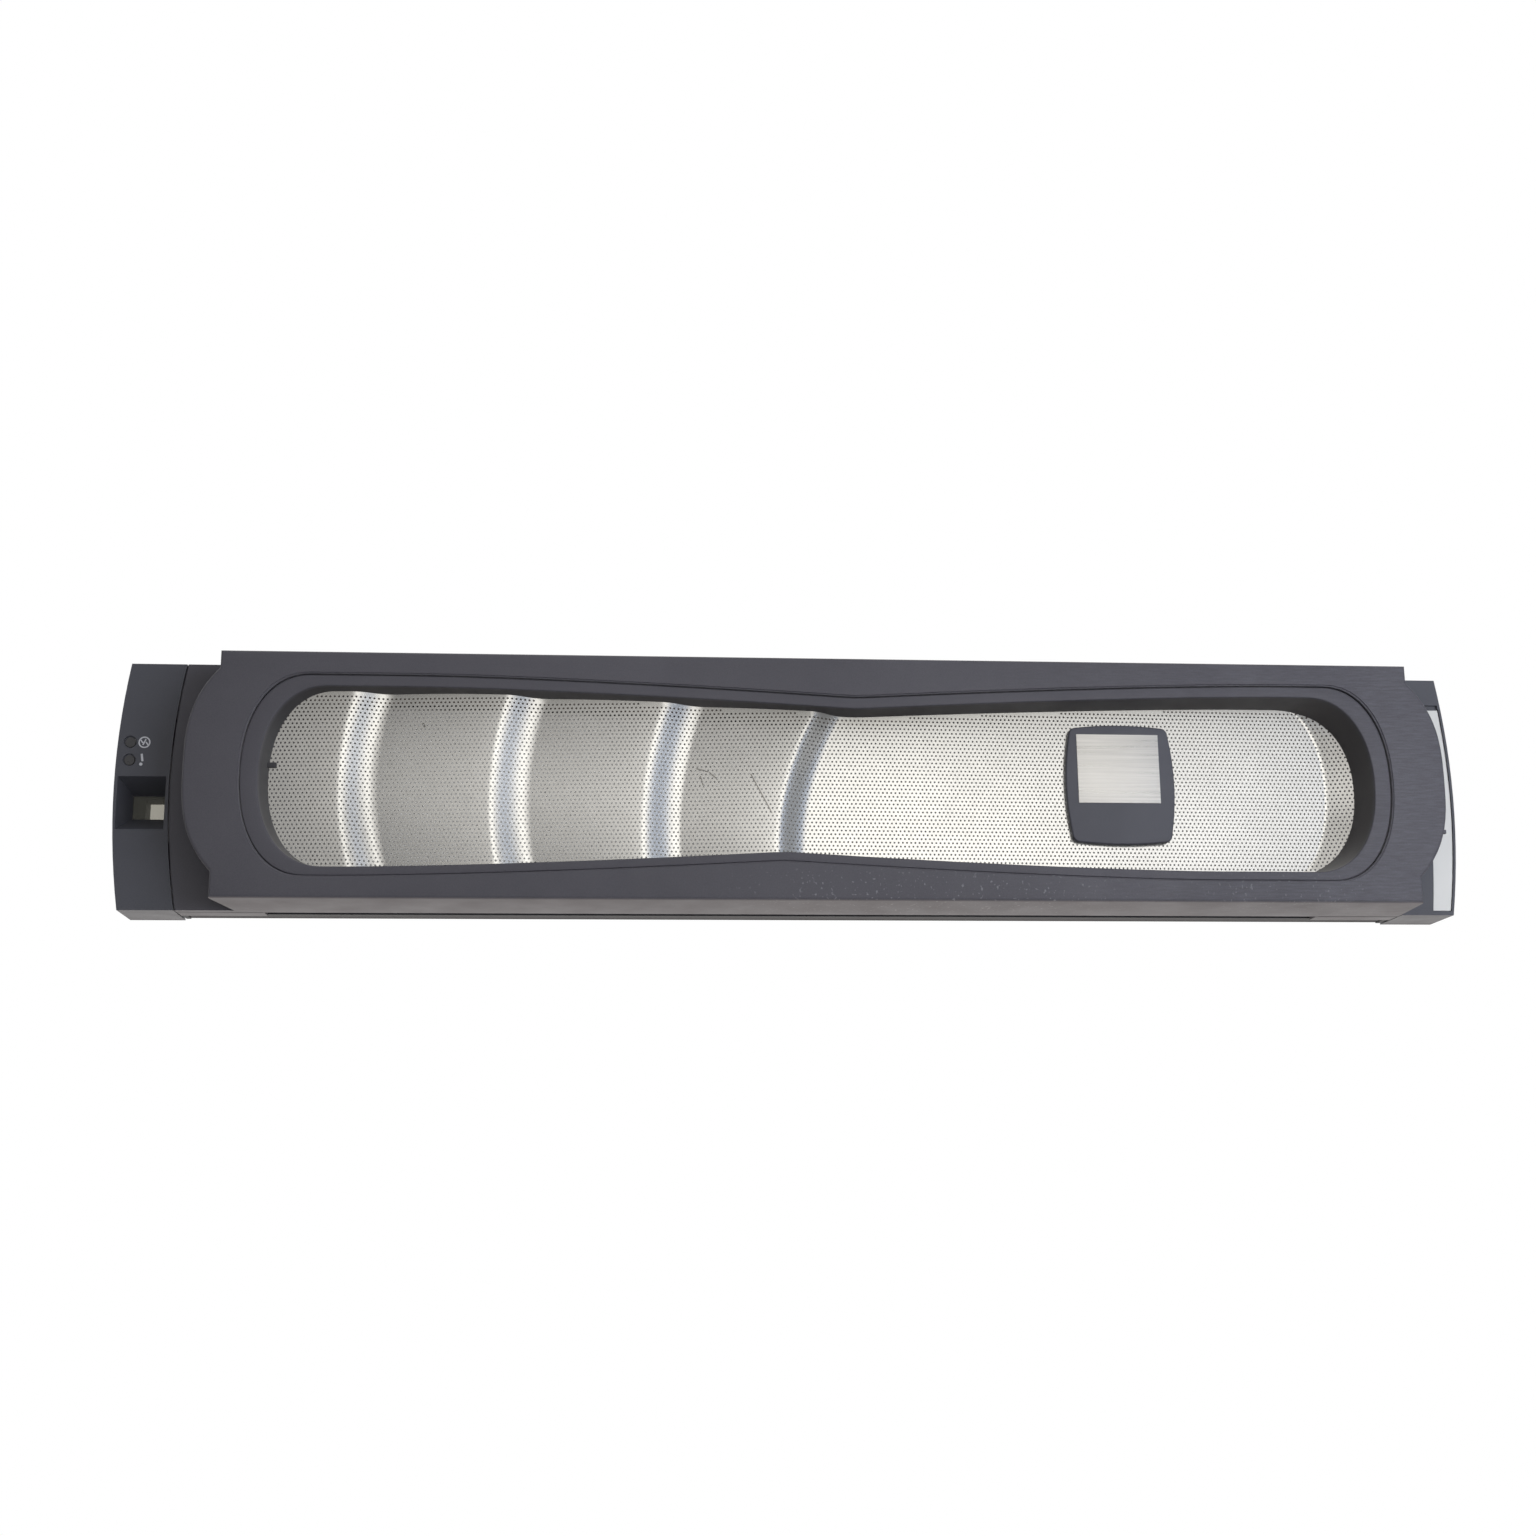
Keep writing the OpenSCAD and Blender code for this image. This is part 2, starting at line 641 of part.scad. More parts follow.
// Corners of a cell, clockwise as seen from the front, starting at the lower left
function corners(c) = [at(c[0], c[1]), at(c[0], c[1] + 1), at(c[0] + 1, c[1] + 1), at(c[0] + 1, c[1])];
function flipped(faces) = [for (f = faces) [f[0] + front_n, f[2] + front_n, f[1] + front_n]];
front_faces = concat(
    [for (i = [0:last_col - 1]) for (j = [0:row_n - 1]) if (!has_hole(i, j))
        let (q = corners([i, j])) each [[q[0], q[1], q[2]], [q[0], q[2], q[3]]]],
    [for (h = [0:len(cells) - 1])
        let (q = corners(cells[h]), o = grid_n + 4 * h)
        each [for (e = [0:3])
            each [[q[e], q[(e + 1) % 4], o + e], [o + e, q[(e + 1) % 4], o + (e + 1) % 4]]]]);
// Walls round the openings and round the sheet's rim, as loops of front points
function wall(a, b) = [[a, b + front_n, a + front_n], [a, b, b + front_n]];
hole_walls = [for (h = [0:len(cells) - 1]) for (e = [0:3])
    let (o = grid_n + 4 * h) each wall(o + e, o + (e + 1) % 4)];
rim = concat(
    [for (i = [0:last_col - 1]) at(i, 0)], [for (j = [0:row_n - 1]) at(last_col, j)],
    [for (i = [last_col:-1:1]) at(i, row_n)], [for (j = [row_n:-1:1]) at(0, j)]);
rim_walls = [for (i = [0:len(rim) - 1]) each wall(rim[i], rim[(i + 1) % len(rim)])];

module grille() color(sheet_grey)
    polyhedron(sheet_points, concat(front_faces, flipped(front_faces), hole_walls, rim_walls));

// ---------- grille retainer ----------

// Fingers that press on the back of the sheet
function finger_spot(x, up) =
    let (g = band_long + finger_d / 2 + 0.6) [x, up ? bone_top(x, g) : bone_low(x, g)];
fingers = [for (x = spread(finger_count), up = [false, true]) finger_spot(x, up)];
// The deepest point of the sheet's back under a finger's tip
function finger_tip(p) =
    max([for (dx = [-1, 0, 1], dz = [-1, 0, 1])
        sheet_front(p[0] + dx * finger_d / 2, p[1] + dz * finger_d / 2)]) + sheet_t;

module grille_retainer() color(black) {
    difference() {
        slab(retainer_y, retainer_back, sleeve(-sleeve_t - small_boss_d + 1));
        slab(retainer_y - cut, retainer_back + cut, sleeve(retainer_in));
        for (p = small_bosses)
            rod(p, retainer_y - cut, retainer_back + cut, small_screw_d + 2 * screw_fit);
    }
    for (p = fingers) rod(p, finger_tip(p) + 0.1, retainer_y + 0.1, finger_d);
}

module retainer_screws() color(steel)
    for (p = small_bosses) screw(p, retainer_back, small_screw_d, small_screw_len);

// ---------- badge ----------

badge_back = face_y + flat_depth - tape_t;
badge_face = badge_back - badge_t;
plate_top = badge_z + badge_h / 2 - plate_drop;

// Rectangle with bowed sides and rounded corners, inset by g
function badge_outline(g) =
    let (w = badge_w / 2 - g, h = badge_h / 2 - g, r = badge_r)
    [for (q = [0:3])
        let (sx = q == 0 || q == 3 ? 1 : -1, sz = q < 2 ? 1 : -1, turn = q * 90)
        each concat(
            [for (a = [0:15:90]) [badge_x + sx * (w - r) + r * cos(turn + a),
                badge_z + sz * (h - r) + r * sin(turn + a)]],
            [for (i = [1:7]) let (t = i / 8, b = 1 - pow(2 * t - 1, 2))
                q == 0 ? [badge_x + (w - r) * (1 - 2 * t), badge_z + h + badge_bow_z * b]
                : q == 1 ? [badge_x - w - badge_bow_x * b, badge_z + (h - r) * (1 - 2 * t)]
                : q == 2 ? [badge_x - (w - r) * (1 - 2 * t), badge_z - h - badge_bow_z * b]
                : [badge_x + w + badge_bow_x * b, badge_z - (h - r) * (1 - 2 * t)]])];

module plate_box(fit, y0, y1) {
    block([badge_x - plate_w / 2 - fit, badge_x + plate_w / 2 + fit], [y0, y1],
        [plate_top - plate_h - fit, plate_top + fit]);
}

module badge_plaque() color(black) difference() {
    slab(badge_face, badge_back, badge_outline(0));
    plate_box(plate_fit, badge_face - cut, badge_face - plate_proud + plate_t);
}

module badge_plate() color(plate_grey)
    plate_box(0, badge_face - plate_proud, badge_face - plate_proud + plate_t);

module badge_tape() color(black)
    slab(badge_back, badge_back + tape_t, badge_outline(tape_in));

// ---------- end caps ----------

stud_x = half_w - stud_inset;
stud_zs = [stud_edge, total_h - stud_edge];
socket_d = stud_d + 2 * (stud_fit + socket_wall);
socket_mouth = ear_depth - socket_end;
socket_seat = socket_mouth - socket_deep - 2;   // where the socket's shoulder meets its boss
cap_tabs = [for (z = [tab_z, total_h - tab_z]) [tab_screw_x, z]];

// Hollow cap with socket bosses and tabs, at one side
module cap_body(side) {
    slab(0, cap_front, cap_outline(side, 0, 0, 0));
    difference() {
        slab(0, ear_depth, cap_outline(side, 0, 0, 0));
        slab(cap_front, ear_depth + cut, cap_outline(side, cap_wall, cap_wall, cap_wall));
    }
    for (z = stud_zs) rod([side * stud_x, z], cap_front - 0.1, socket_seat, socket_d);
    for (p = cap_tabs) {
        reach = seam_at(p[1]) + seam_gap + cap_wall / 2;
        block(side < 0 ? [-reach, 5 - p[0]] : [p[0] - 5, reach],
            [carrier_back, carrier_back + tab_t], [p[1] - 5, p[1] + 5]);
    }
}

module cap_bores(side) {
    for (z = stud_zs)
        rod([side * stud_x, z], socket_seat - foot_len - 0.5, socket_seat + cut, foot_d + 2 * stud_fit);
    for (p = cap_tabs)
        rod([side * p[0], p[1]], carrier_back - cut, carrier_back + tab_t + cut, screw_d + 2 * screw_fit);
}

// Window: a funnel in the front, a clear opening at its bottom, and a pocket for the lens
window_z = mid_z - window_down;
window_l = window_edge - half_w;
window_mid = window_l + window_w / 2;
clear_mid = [window_mid + clear_right, window_z + clear_up];
lens_y = funnel_depth;
pocket_y = lens_y + lens_t + 0.3;
function span(middle, size) = [middle - size / 2, middle + size / 2];

module funnel(grow, y0, y1) {
    hull() {
        block(span(window_mid, window_w + 2 * grow), [y0, y0 + 0.1], span(window_z, window_h + 2 * grow));
        block(span(clear_mid[0], clear_w + 2 * grow), [y1 - 0.1, y1], span(clear_mid[1], clear_h + 2 * grow));
    }
}

module lens_box(grow, y0, y1) {
    block(span(clear_mid[0], clear_w + 2 * (lens_rim + grow)), [y0, y1],
        span(clear_mid[1], clear_h + 2 * (lens_rim + grow)));
}

// Light pipes, one above the other
pipe_x = pipe_edge - half_w;
pipe_zs = [mid_z + pipe_up, mid_z + pipe_up - pipe_pitch];
holder_mid = (pipe_zs[0] + pipe_zs[1]) / 2;
holder_screw_x = pipe_x + pipe_d / 2 + small_boss_d / 2 + 2.6;

module end_cap_left() color(cap_grey) difference() {
    union() {
        cap_body(-1);
        intersection() {
            union() {
                funnel(funnel_t, 0, funnel_depth);
                lens_box(lens_fit + 0.9, funnel_depth - 0.6, pocket_y);
            }
            slab(0, pocket_y, cap_outline(-1, 0, 0, 0));
        }
        rod([holder_screw_x, holder_mid], cap_front - 0.1, holder_y, small_boss_d);
    }
    cap_bores(-1);
    funnel(0, -0.1, funnel_depth + 0.1);
    lens_box(lens_fit, lens_y, pocket_y + cut);
    for (z = pipe_zs) {
        rod([pipe_x, z], -cut, recess_t, pipe_recess);
        rod([pipe_x, z], -cut, cap_front + cut, pipe_d + 2 * pipe_fit);
    }
    rod([holder_screw_x, holder_mid], holder_y - small_screw_len, holder_y + cut,
        small_screw_d + 2 * screw_fit);
}

// Label's outline, bowed on both sides
label_top = label_low + label_len;
function label_side(z) = half_w - label_in + label_bow * bow(z);
function label_outline(fit) =
    let (zs = levels(label_low - fit, label_top + fit))
    concat([for (z = zs) [outer_x(z) - label_rim + fit / 2, z]],
        [for (z = reversed(zs)) [label_side(z) - fit, z]]);

module end_cap_right() color(cap_grey) difference() {
    cap_body(1);
    cap_bores(1);
    slab(-cut, label_recess, label_outline(label_fit));
    block([label_side(label_top + label_gap) - label_fit, outer_x(label_top + label_gap) - label_rim],
        [-cut, label_recess], [label_top, label_top + label_gap]);
}

module label_strip() color(label_white)
    slab(label_recess - label_t, label_recess, label_outline(0));

// ---------- window lens, shroud and status lights ----------

module display_lens() color(smoke) lens_box(0, lens_y, lens_y + lens_t);

// Duct behind the lens whose collar sits over the pocket's rim
module display_shroud() color(black) difference() {
    union() {
        lens_box(lens_fit + 0.9, pocket_y, pocket_y + 1.2);
        lens_box(-lens_fit, lens_y + lens_t + 0.1, ear_depth - shroud_end);
    }
    block([clear_mid[0] - clear_w / 2 + duct_left, clear_mid[0] + clear_w / 2], [lens_y, ear_depth],
        [clear_mid[1] - clear_h / 2, clear_mid[1] + clear_h / 2 - duct_top]);
}

// Pipe with a collar that rests on the back of the holder
module light_pipe(z) {
    rod([pipe_x, z], recess_t / 2, ear_depth - pipe_end, pipe_d);
    rod([pipe_x, z], holder_y + holder_t, holder_y + holder_t + 1.2, pipe_d + 1.4);
}

module light_pipe_power() color(smoke) light_pipe(pipe_zs[0]);

module light_pipe_attention() color(smoke) light_pipe(pipe_zs[1]);

module light_pipe_holder() color(black) difference() {
    block([pipe_x - pipe_d / 2 - 0.5, holder_screw_x + small_boss_d / 2],
        [holder_y, holder_y + holder_t], span(holder_mid, pipe_pitch + pipe_d + 2.6));
    for (z = pipe_zs) rod([pipe_x, z], holder_y - cut, holder_y + holder_t + cut, pipe_d + 2 * pipe_fit);
    rod([holder_screw_x, holder_mid], holder_y - cut, holder_y + holder_t + cut,
        small_screw_d + 2 * screw_fit);
}

module holder_screw() color(steel)
    screw([holder_screw_x, holder_mid], holder_y + holder_t, small_screw_d, small_screw_len);

// ---------- rear carrier ----------

carrier_top = total_h - carrier_inset;
// Rounded window in the carrier's plate
function carrier_window() =
    let (x0 = window_left - carrier_x, x1 = carrier_x - window_right,
        z0 = carrier_inset + carrier_rail, z1 = carrier_top - carrier_rail)
    [for (q = [0:3])
        let (sx = q == 0 || q == 3 ? x1 - window_r : x0 + window_r,
            sz = q < 2 ? z1 - window_r : z0 + window_r)
        each [for (a = [0:10:90]) [sx + window_r * cos(90 * q + a), sz + window_r * sin(90 * q + a)]]];

module rear_carrier() color(black) difference() {
    union() {
        difference() {
            block([-carrier_x, carrier_x], [carrier_y, carrier_back], [carrier_inset, carrier_top]);
            block([carrier_wall - carrier_x, carrier_x - carrier_wall],
                [carrier_y + carrier_t, carrier_back + cut],
                [carrier_inset + carrier_wall, carrier_top - carrier_wall]);
            slab(carrier_y - cut, carrier_y + carrier_t + cut, carrier_window());
        }
        // Lips along the top and the bottom, as far back as the end caps
        for (z = [[lip_inset, carrier_inset + carrier_wall],
                [carrier_top - carrier_wall, total_h - lip_inset]])
            block([-carrier_x, carrier_x], [carrier_back - 0.1, ear_depth - lip_end], z);
        // Tongues for the two screws at the waist
        for (p = [shell_bosses[4], shell_bosses[5]])
            block(span(p[0], 12), [carrier_y, carrier_y + carrier_t],
                p[1] > mid_z ? [p[1] - 3.4, carrier_top - 1] : [carrier_inset + 1, p[1] + 3.4]);
        // Bosses for the end caps' tabs
        for (side = [-1, 1], p = cap_tabs)
            rod([side * p[0], p[1]], carrier_y + carrier_t - 0.1, carrier_back, boss_d);
    }
    for (p = shell_bosses)
        rod(p, carrier_y - cut, carrier_y + carrier_t + cut, screw_d + 2 * screw_fit);
    for (side = [-1, 1], p = cap_tabs)
        rod([side * p[0], p[1]], carrier_back - screw_len, carrier_back + cut, screw_d + 2 * screw_fit);
}

module shell_screws() color(steel)
    for (p = shell_bosses) screw(p, carrier_y + carrier_t, screw_d, screw_len);

module cap_screws() color(steel)
    for (side = [-1, 1], p = cap_tabs)
        screw([side * p[0], p[1]], carrier_back + tab_t, screw_d, screw_len);

// ---------- ball-stud sockets ----------

// Split socket on a foot, its bore open to the back with a lead-in at the mouth
module stud_socket(side, z) {
    spot = [side * stud_x, z];
    bore_d = stud_d + 2 * stud_fit;
    difference() {
        union() {
            rod(spot, socket_seat - foot_len, socket_seat + 0.1, foot_d);
            rod(spot, socket_seat, socket_mouth, socket_d);
        }
        rod(spot, socket_mouth - socket_deep, socket_mouth + cut, bore_d);
        translate([spot[0], socket_mouth + 0.01, z]) rotate([90, 0, 0])
            cylinder(d1 = bore_d + 1.6, d2 = bore_d, h = 0.8);
        block(span(spot[0], socket_d + 2), [socket_mouth - socket_deep, socket_mouth + cut],
            span(z, socket_slot));
    }
}

module stud_socket_upper_left() color(label_white) stud_socket(-1, stud_zs[1]);
module stud_socket_lower_left() color(label_white) stud_socket(-1, stud_zs[0]);
module stud_socket_upper_right() color(label_white) stud_socket(1, stud_zs[1]);
module stud_socket_lower_right() color(label_white) stud_socket(1, stud_zs[0]);

front_shell();
grille_surround();
grille();
grille_retainer();
retainer_screws();
badge_plaque();
badge_plate();
badge_tape();
end_cap_left();
end_cap_right();
label_strip();
display_lens();
display_shroud();
light_pipe_power();
light_pipe_attention();
light_pipe_holder();
holder_screw();
rear_carrier();
shell_screws();
cap_screws();
stud_socket_upper_left();
stud_socket_lower_left();
stud_socket_upper_right();
stud_socket_lower_right();
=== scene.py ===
import math

import bmesh
import bpy
import numpy as np
from mathutils import Matrix, Vector


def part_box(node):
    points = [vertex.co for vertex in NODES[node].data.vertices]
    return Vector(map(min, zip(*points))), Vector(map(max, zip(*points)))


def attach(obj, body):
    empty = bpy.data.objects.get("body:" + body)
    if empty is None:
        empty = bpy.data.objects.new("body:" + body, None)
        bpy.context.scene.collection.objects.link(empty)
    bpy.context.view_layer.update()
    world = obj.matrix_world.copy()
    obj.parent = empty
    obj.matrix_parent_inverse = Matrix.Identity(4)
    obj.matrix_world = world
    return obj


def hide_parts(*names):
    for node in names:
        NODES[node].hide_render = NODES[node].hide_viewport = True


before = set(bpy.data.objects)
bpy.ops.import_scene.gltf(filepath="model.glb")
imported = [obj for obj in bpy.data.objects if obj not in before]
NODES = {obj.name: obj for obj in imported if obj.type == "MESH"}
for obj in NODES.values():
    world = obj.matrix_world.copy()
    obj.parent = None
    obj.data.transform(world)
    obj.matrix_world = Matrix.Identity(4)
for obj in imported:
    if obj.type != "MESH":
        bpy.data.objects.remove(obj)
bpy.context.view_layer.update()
MM = 0.001

# ---------------------------------------------------------------- sizes, in millimetres
TOTAL_H, MID_Z = 88.4, 44.2
FACE_Y = -22.0                      # front of the raised shell; the ears' front is y = 0
SEAM_X, SEAM_BOW = 218.1, 4.0
SHELL_L, SHELL_R = -203.0, 218.0
LEFT_SHOULDER, RIGHT_SHOULDER = 10.8, 11.4
SHOULDER_LOW, SHOULDER_TOP = 9.5, 82.0
SIDE_LEAN = 5.3                     # left side wall, inwards towards the ear
WALL, DRAFT, EDGE_R = 2.6, 0.85, 1.1
BODY_BACK, WING_T = 4.0, 2.4
TONGUE_BACK, TONGUE_LEN, TONGUE_T = 12.0, 30.0, 1.3

OPEN_L, OPEN_R, OPEN_LOW, OPEN_TOP = -194.7, 209.9, 8.6, 79.6
END_ROUND, END_POWER = 23.0, 2.2
WAIST_PINCH, WAIST_REACH, WAIST_SOFT = 6.0, 150.0, 2.5
WAIST_TOP_X, WAIST_LOW_X = 18.0, -8.0

SEAM_GAP, SEAM_LOW, SEAM_SHIFT, BAND_Y = 0.34, 0.2, 0.12, -21.2
BAND_END, BAND_TOP, BAND_LOW, BAND_R = 6.3, 4.2, 3.3, 0.5
SLEEVE_TAPER, END_TAPER, SLEEVE_T, SLEEVE_BACK = 0.9, 6.6, 2.0, 0.5
RIGHT_TAPER, RIGHT_ROUNDER = -2.1, 5.0   # the right end narrows less and is rounder at the back
FLANGE_Y, FLANGE_T, FLANGE_W = -19.4, 1.6, 2.4

SHEET_T, SHEET_FIT, SEAT_FIT = 0.16, 0.3, 0.25
CREST, FOOT, FLAT, FLAT_SLOPE = 7.0, 10.4, 11.6, 0.029
# Steepest line of each step down: x at mid height, lean, bow, width of the step
RIPPLES = ((-157.4, 0.3, 5.0, 13.3), (-104.8, 1.7, 4.3, 14.0),
           (-50.8, 4.1, 3.8, 13.9), (-2.2, 8.6, 5.5, 12.2))
FIRST_CLIMB, STRAIGHT_X = 37.0, 95.0     # length of the first rise; x from which lines run straight
RIB_Z, RIB_W, RIB_LEN, RIB_T = 48.5, 1.8, 5.2, 1.5
STEP_SKEW, CLIMB_POWER = 1.6, 1.35
END_STEP, END_STEP_W, END_CLIMB = 0.08, 2.4, 0.33
END_STEP_IN, END_STEP_BOW = 29.3, 16.0   # inwards from the right end at its tips; bow at mid height
HOLE_PITCH, ROW_PITCH, HOLE_R = 1.5, 1.38, 0.4
# Least distances inside the rim: middle of a cell, middle of a hole, corners of a holed cell
CELL_EDGE, HOLE_EDGE, CORNER_EDGE = 0.3, 0.95, 0.1
PANEL_EDGES = (-1000.0, -73.0, 60.0, 1000.0)         # the sheet is cut into three panels here

BADGE = dict(x=114.3, z=45.3, w=36.2, h=42.0, bow_x=1.7, bow_z=0.9, r=2.6, face=-10.1, back=-7.1)


# ---------------------------------------------------------------- mesh helpers
def link(name, mesh):
    piece = bpy.data.objects.new(name, mesh)
    bpy.context.scene.collection.objects.link(piece)
    return piece


def finish_piece(piece, slot, material, *nodes):
    """Puts the piece on the rigid body, gives it its material and hides the nodes it stands for."""
    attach(piece, "root")
    if nodes:
        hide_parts(*nodes)
    piece.data.materials.clear()
    piece.data.materials.append(material)
    return piece


SMOOTH_ANGLE = math.radians(30.0)
WELD = 2e-6                         # in metres


def mesh_from(name, points, faces, solid=True):
    """Mesh from points in millimetres, welded, with outward normals and smooth shading."""
    bm = bmesh.new()
    verts = [bm.verts.new(Vector(p) * MM) for p in points]
    for face in faces:
        corner = [verts[i] for i in face]
        if len(set(corner)) > 2:
            try:
                bm.faces.new(corner)
            except ValueError:
                pass
    bmesh.ops.remove_doubles(bm, verts=bm.verts, dist=WELD)
    bmesh.ops.dissolve_degenerate(bm, edges=bm.edges, dist=WELD)
    if solid:
        bmesh.ops.recalc_face_normals(bm, faces=bm.faces)
    mesh = bpy.data.meshes.new(name)
    bm.to_mesh(mesh)
    bm.free()
    mesh.shade_smooth()
    mesh.set_sharp_from_angle(angle=SMOOTH_ANGLE)
    return mesh


def loft(rings, close=False):
    """Points and quads of a skin over rings of equal length, as (points, faces)."""
    n = len(rings[0])
    points = [p for ring in rings for p in ring]
    last = len(rings) if close else len(rings) - 1
    faces = []
    for k in range(last):
        a, b = k * n, (k + 1) % len(rings) * n
        faces += [(a + i, a + (i + 1) % n, b + (i + 1) % n, b + i) for i in range(n)]
    return points, faces


def join_parts(parts):
    points, faces = [], []
    for part_points, part_faces in parts:
        base = len(points)
        points += part_points
        faces += [tuple(base + i for i in f) for f in part_faces]
    return points, faces


def soft_box(low, high, r):
    """Box with chamfered edges, as (points, faces)."""
    bm = bmesh.new()
    bmesh.ops.create_cube(bm, size=1.0)
    size = [b - a for a, b in zip(low, high)]
    for v in bm.verts:
        v.co = Vector([low[i] + size[i] * (v.co[i] + 0.5) for i in range(3)])
    bmesh.ops.bevel(bm, geom=bm.edges, offset=r, segments=2, profile=0.7, affect="EDGES")
    bm.verts.index_update()
    part = ([tuple(v.co) for v in bm.verts], [tuple(v.index for v in f.verts) for f in bm.faces])
    bm.free()
    return part


# ---------------------------------------------------------------- outlines
def bow(z):
    return 1 - ((z - MID_Z) / MID_Z) ** 2


def seam_at(z):
    return SEAM_X + SEAM_BOW * bow(z)


def shoulder(z):
    half = (SHOULDER_TOP - SHOULDER_LOW) / 2
    t = abs(z - SHOULDER_LOW - half) / half
    return 1 - min(1, t) ** 3


def shell_right(z):
    return SHELL_R + RIGHT_SHOULDER * shoulder(z)


def crossing(z0, z1):
    """Height at which the right shoulder crosses the seam."""
    for _ in range(40):
        z = (z0 + z1) / 2
        if (shell_right(z) > seam_at(z)) == (shell_right(z0) > seam_at(z0)):
            z0 = z
        else:
            z1 = z
    return (z0 + z1) / 2


# Heights of the points down one side; the shoulder's ends come twice, outside it and in it
SHOULDER_STEPS = 30
_half = (SHOULDER_TOP - SHOULDER_LOW) / 2
_inside = [SHOULDER_LOW + _half * (1 + math.cos(math.pi * i / SHOULDER_STEPS))
           for i in range(1, SHOULDER_STEPS)]
_inside += [crossing(SHOULDER_TOP, SHOULDER_TOP - 8), crossing(SHOULDER_LOW, SHOULDER_LOW + 8)]
SIDE = ([(TOTAL_H, False), (86.5, False), (84.0, False), (SHOULDER_TOP, False), (SHOULDER_TOP, True)]
        + [(z, True) for z in sorted(_inside, reverse=True)]
        + [(SHOULDER_LOW, True), (SHOULDER_LOW, False), (6.0, False), (3.0, False), (0.0, False)])
RUN = 72                            # steps along the top and the bottom
SIDE_N = len(SIDE) - 1


def hull_ring(y, g, clamp=False):
    """Outline of the raised shell at depth y, inset by g; clamp keeps it inside the seams."""
    scale = (MID_Z - DRAFT * max(0, -y) / -FACE_Y - g) / MID_Z
    lean = SIDE_LEAN * (min(0, y) - FACE_Y) / -FACE_Y

    def point(side, z, inside):
        if side > 0:
            x = SHELL_R - g + RIGHT_SHOULDER * shoulder(z)
            if clamp:
                x = min(x, seam_at(z) - g)
        else:
            x = SHELL_L + g - LEFT_SHOULDER * shoulder(z) + (0 if inside else lean)
        return (x, y, MID_Z + (z - MID_Z) * scale)

    left = [point(-1, z, f) for z, f in SIDE]
    right = [point(1, z, f) for z, f in SIDE]
    return assemble(left, right)


def assemble(left, right):
    """Ring from the side points, top to bottom: top run, right side, bottom run, left side."""
    def run(a, b):
        return [tuple(a[k] + (b[k] - a[k]) * i / RUN for k in range(3)) for i in range(RUN + 1)]
    return (run(left[0], right[0]) + [right[0]] + right[1:-1] + [right[-1]]
            + run(right[-1], left[-1]) + [left[-1]] + left[1:-1][::-1] + [left[0]])


def wing_ring(y, g, like):
    """Outline out to the seams; its top and bottom runs follow the ring it is joined to."""
    scale = (MID_Z - (g if y > 1 else 0)) / MID_Z
    side = [(z, MID_Z + (z - MID_Z) * scale) for z, _ in SIDE]
    left = [(g - seam_at(z), y, h) for z, h in side]
    right = [(seam_at(z) - g, y, h) for z, h in side]
    top = [(p[0], y, side[0][1]) for p in like[:RUN + 1]]
    start = RUN + 1 + SIDE_N + 1
    low = [(p[0], y, side[-1][1]) for p in like[start:start + RUN + 1]]
    return top + [right[0]] + right[1:-1] + [right[-1]] + low + [left[-1]] + left[1:-1][::-1] + [left[0]]


def pinch(x, tip):
    d = math.sqrt((x - tip) ** 2 + WAIST_SOFT ** 2) - WAIST_SOFT
    return WAIST_PINCH * max(0, 1 - d / WAIST_REACH) ** 1.5


def bone_top(x, gz):
    return OPEN_TOP - gz - pinch(x, WAIST_TOP_X)


def bone_low(x, gz):
    return OPEN_LOW + gz + pinch(x, WAIST_LOW_X)


def bone_ring(y, gx, gz, low=None, right=0.0, rounder=0.0):
    """Waisted opening at depth y, inset by gx at the ends, gz above and low below."""
    gl = gz if low is None else low
    l, r = OPEN_L + gx, OPEN_R - gx - right
    run_x = [l + END_ROUND + (r - l - 2 * END_ROUND - rounder) * i / RUN for i in range(RUN + 1)]

    def end_point(x_end, sign, phi):
        radius = END_ROUND + (rounder if sign > 0 else 0)
        s = math.sin(phi) ** (2 / END_POWER)
        c = math.cos(phi)
        e = math.copysign(abs(c) ** (2 / END_POWER), c)
        x = x_end - sign * radius * (1 - s)
        a, b = bone_top(x, gz), bone_low(x, gl)
        return (x, y, (a + b) / 2 + (a - b) / 2 * e)

    phis = [math.pi * j / SIDE_N for j in range(SIDE_N + 1)]
    right = [end_point(r, 1, p) for p in phis]
    left = [end_point(l, -1, p) for p in phis]
    top = [(x, y, bone_top(x, gz)) for x in run_x]
    bottom = [(x, y, bone_low(x, gl)) for x in run_x[::-1]]
    return top + [right[0]] + right[1:-1] + [right[-1]] + bottom + [left[-1]] + left[1:-1][::-1] + [left[0]]


# ---------------------------------------------------------------- rippled sheet's depth
def smooth(t):
    s = np.clip(t, 0, 1)
    return s * s * (3 - 2 * s)


def fall(t):
    """Step from 0 to 1 that is steepest in its first half."""
    t = np.clip(t, 0, 1)
    return 1 - (1 - t) ** (STEP_SKEW + 1) * (1 + (STEP_SKEW + 1) * t)


SHEET_L = OPEN_L + BAND_END + SEAT_FIT
SHEET_R = OPEN_R - BAND_END - SEAT_FIT
HALF_OPEN = 32.2                    # unit for heights above and below the middle of the sheet


